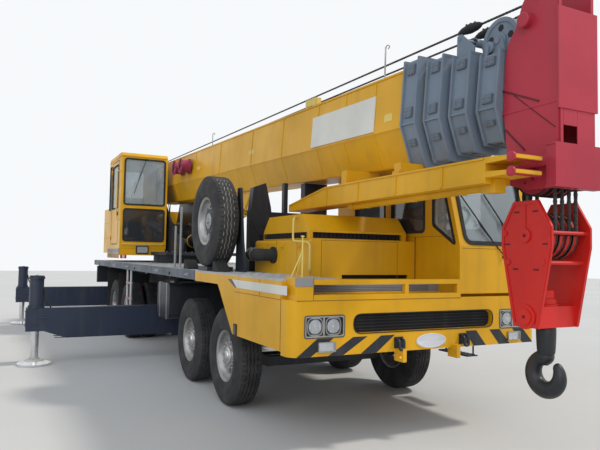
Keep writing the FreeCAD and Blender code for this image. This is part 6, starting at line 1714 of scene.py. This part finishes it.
def rest_fittings():
    parts = Piece()
    front = at(2210)
    for y0, z0, y1, z1 in ((-880, 1700, -610, 2100), (-880, 2100, -610, 1700)):
        a, b = Vector((front, y0, z0)), Vector((front, y1, z1))
        run = (b - a).normalized()
        side = Vector((0, -run.z, run.y)) * 12
        parts.slab([a - side, b - side, b + side, a + side], (1, 0, 0), 7)
    parts.box((front - 1, front + 8), (-885, -602), (2030, 2048))
    parts.bolts([(front, y, z) for y in (-860, -630) for z in (1530, 1620)], (1, 0, 0), 12, 9)
    parts.box((front - 120, front + 10), (-900, -590), (1480, 1496))
    parts.done("rest_ribs", "carrier", black, 1.5)
    hub = 1480 + 50 + 540
    middle = at(2450)
    clamp = Piece()
    clamp.lathe([(0, 98), (-10, 98), (-16, 88), (-16, 30), (-30, 26), (-30, 3)], (middle, -1255 - 62, hub), "Y", 36)
    clamp.done("spare_clamp", "carrier", wheel_paint)


# Stage, light and camera

def stage_plane(name, size, colour):
    mesh = bpy.data.meshes.new(name)
    half = size / 2
    mesh.from_pydata([(-half, -half, 0), (half, -half, 0), (half, half, 0), (-half, half, 0)], [], [(0, 1, 2, 3)])
    item = bpy.data.objects.new(name, mesh)
    bpy.context.scene.collection.objects.link(item)
    material, tree, shader = new_material(name + "_matter", colour, 0.9)
    patches = ramp(tree, noise(tree, 0.35, 5), [(0.3, shade(colour, 0.93)), (0.7, colour)])
    tree.links.new(patches, shader.inputs["Base Color"])
    mesh.materials.append(material)
    item.location.z = -0.002


def sun_light(name, direction, strength, angle, colour=(1, 1, 1)):
    data = bpy.data.lights.new(name, "SUN")
    data.energy = strength
    data.angle = math.radians(angle)
    data.color = colour
    item = bpy.data.objects.new(name, data)
    item.rotation_euler = Vector(direction).to_track_quat("-Z", "Y").to_euler()
    bpy.context.scene.collection.objects.link(item)


def photo_camera():
    """The photograph's camera: place and turn from a fit of the machine's known sizes."""
    yaw, pitch, roll = 0.4684, 0.0505, 0.0172
    place = Vector((BUMPER * MM + 4.3837, -3.5561, 1.6844))
    look = Vector((-math.cos(yaw) * math.cos(pitch), math.sin(yaw) * math.cos(pitch), math.sin(pitch)))
    level = look.cross(Vector((0, 0, 1))).normalized()
    upright = level.cross(look)
    right = level * math.cos(roll) + upright * math.sin(roll)
    up = upright * math.cos(roll) - level * math.sin(roll)
    data = bpy.data.cameras.new("photo_camera")
    data.sensor_width = 36
    data.lens = 593.87 * 36 / 600
    data.clip_end = 200
    item = bpy.data.objects.new("photo_camera", data)
    item.matrix_world = Matrix((
        (right.x, up.x, -look.x, place.x), (right.y, up.y, -look.y, place.y),
        (right.z, up.z, -look.z, place.z), (0, 0, 0, 1),
    ))
    bpy.context.scene.collection.objects.link(item)
    bpy.context.scene.camera = item


def backdrop_world():
    """Soft light from all round; the camera, mirrors and glass see a pale sky."""
    world = bpy.data.worlds.new("pale_sky")
    world.use_nodes = True
    tree = world.node_tree
    output = tree.nodes["World Output"]
    light = tree.nodes["Background"]
    light.inputs["Color"].default_value = (0.86, 0.92, 1.0, 1)
    light.inputs["Strength"].default_value = 0.55
    shown = tree.nodes.new("ShaderNodeBackground")
    shown.inputs["Color"].default_value = (0.93, 0.95, 0.97, 1)
    shown.inputs["Strength"].default_value = 1.0
    path = tree.nodes.new("ShaderNodeLightPath")
    seen = None
    for ray in ("Is Camera Ray", "Is Glossy Ray", "Is Transmission Ray"):
        if seen is None:
            seen = path.outputs[ray]
            continue
        node = tree.nodes.new("ShaderNodeMath")
        node.operation = "MAXIMUM"
        tree.links.new(seen, node.inputs[0])
        tree.links.new(path.outputs[ray], node.inputs[1])
        seen = node.outputs[0]
    mix = tree.nodes.new("ShaderNodeMixShader")
    tree.links.new(seen, mix.inputs["Fac"])
    tree.links.new(light.outputs[0], mix.inputs[1])
    tree.links.new(shown.outputs[0], mix.inputs[2])
    tree.links.new(mix.outputs[0], output.inputs["Surface"])
    bpy.context.scene.world = world


set_wheels()
front_lights()
front_fittings()
bumper_stripes()
side_fittings()
deck_fittings()
hood_fittings()
cab_fittings()
seat_covers()
op_cab_fittings()
boom_fittings()
collar_fittings()
big_pulley()
ropes()
head_fittings()
jib_fittings()
block_fittings()
upper_fittings()
outrigger_fittings()
underside()
cylinder_fittings()
rest_fittings()

bpy.context.scene.view_settings.view_transform = "Standard"
photo_camera()
backdrop_world()
stage_plane("floor", 90, (0.60, 0.60, 0.59))
sun_light("low_sun", (-0.35, -0.75, -1.0), 1.9, 6, (1.0, 0.95, 0.86))
sun_light("sky_fill", (-0.9, 0.75, -0.7), 1.1, 60, (0.92, 0.95, 1.0))
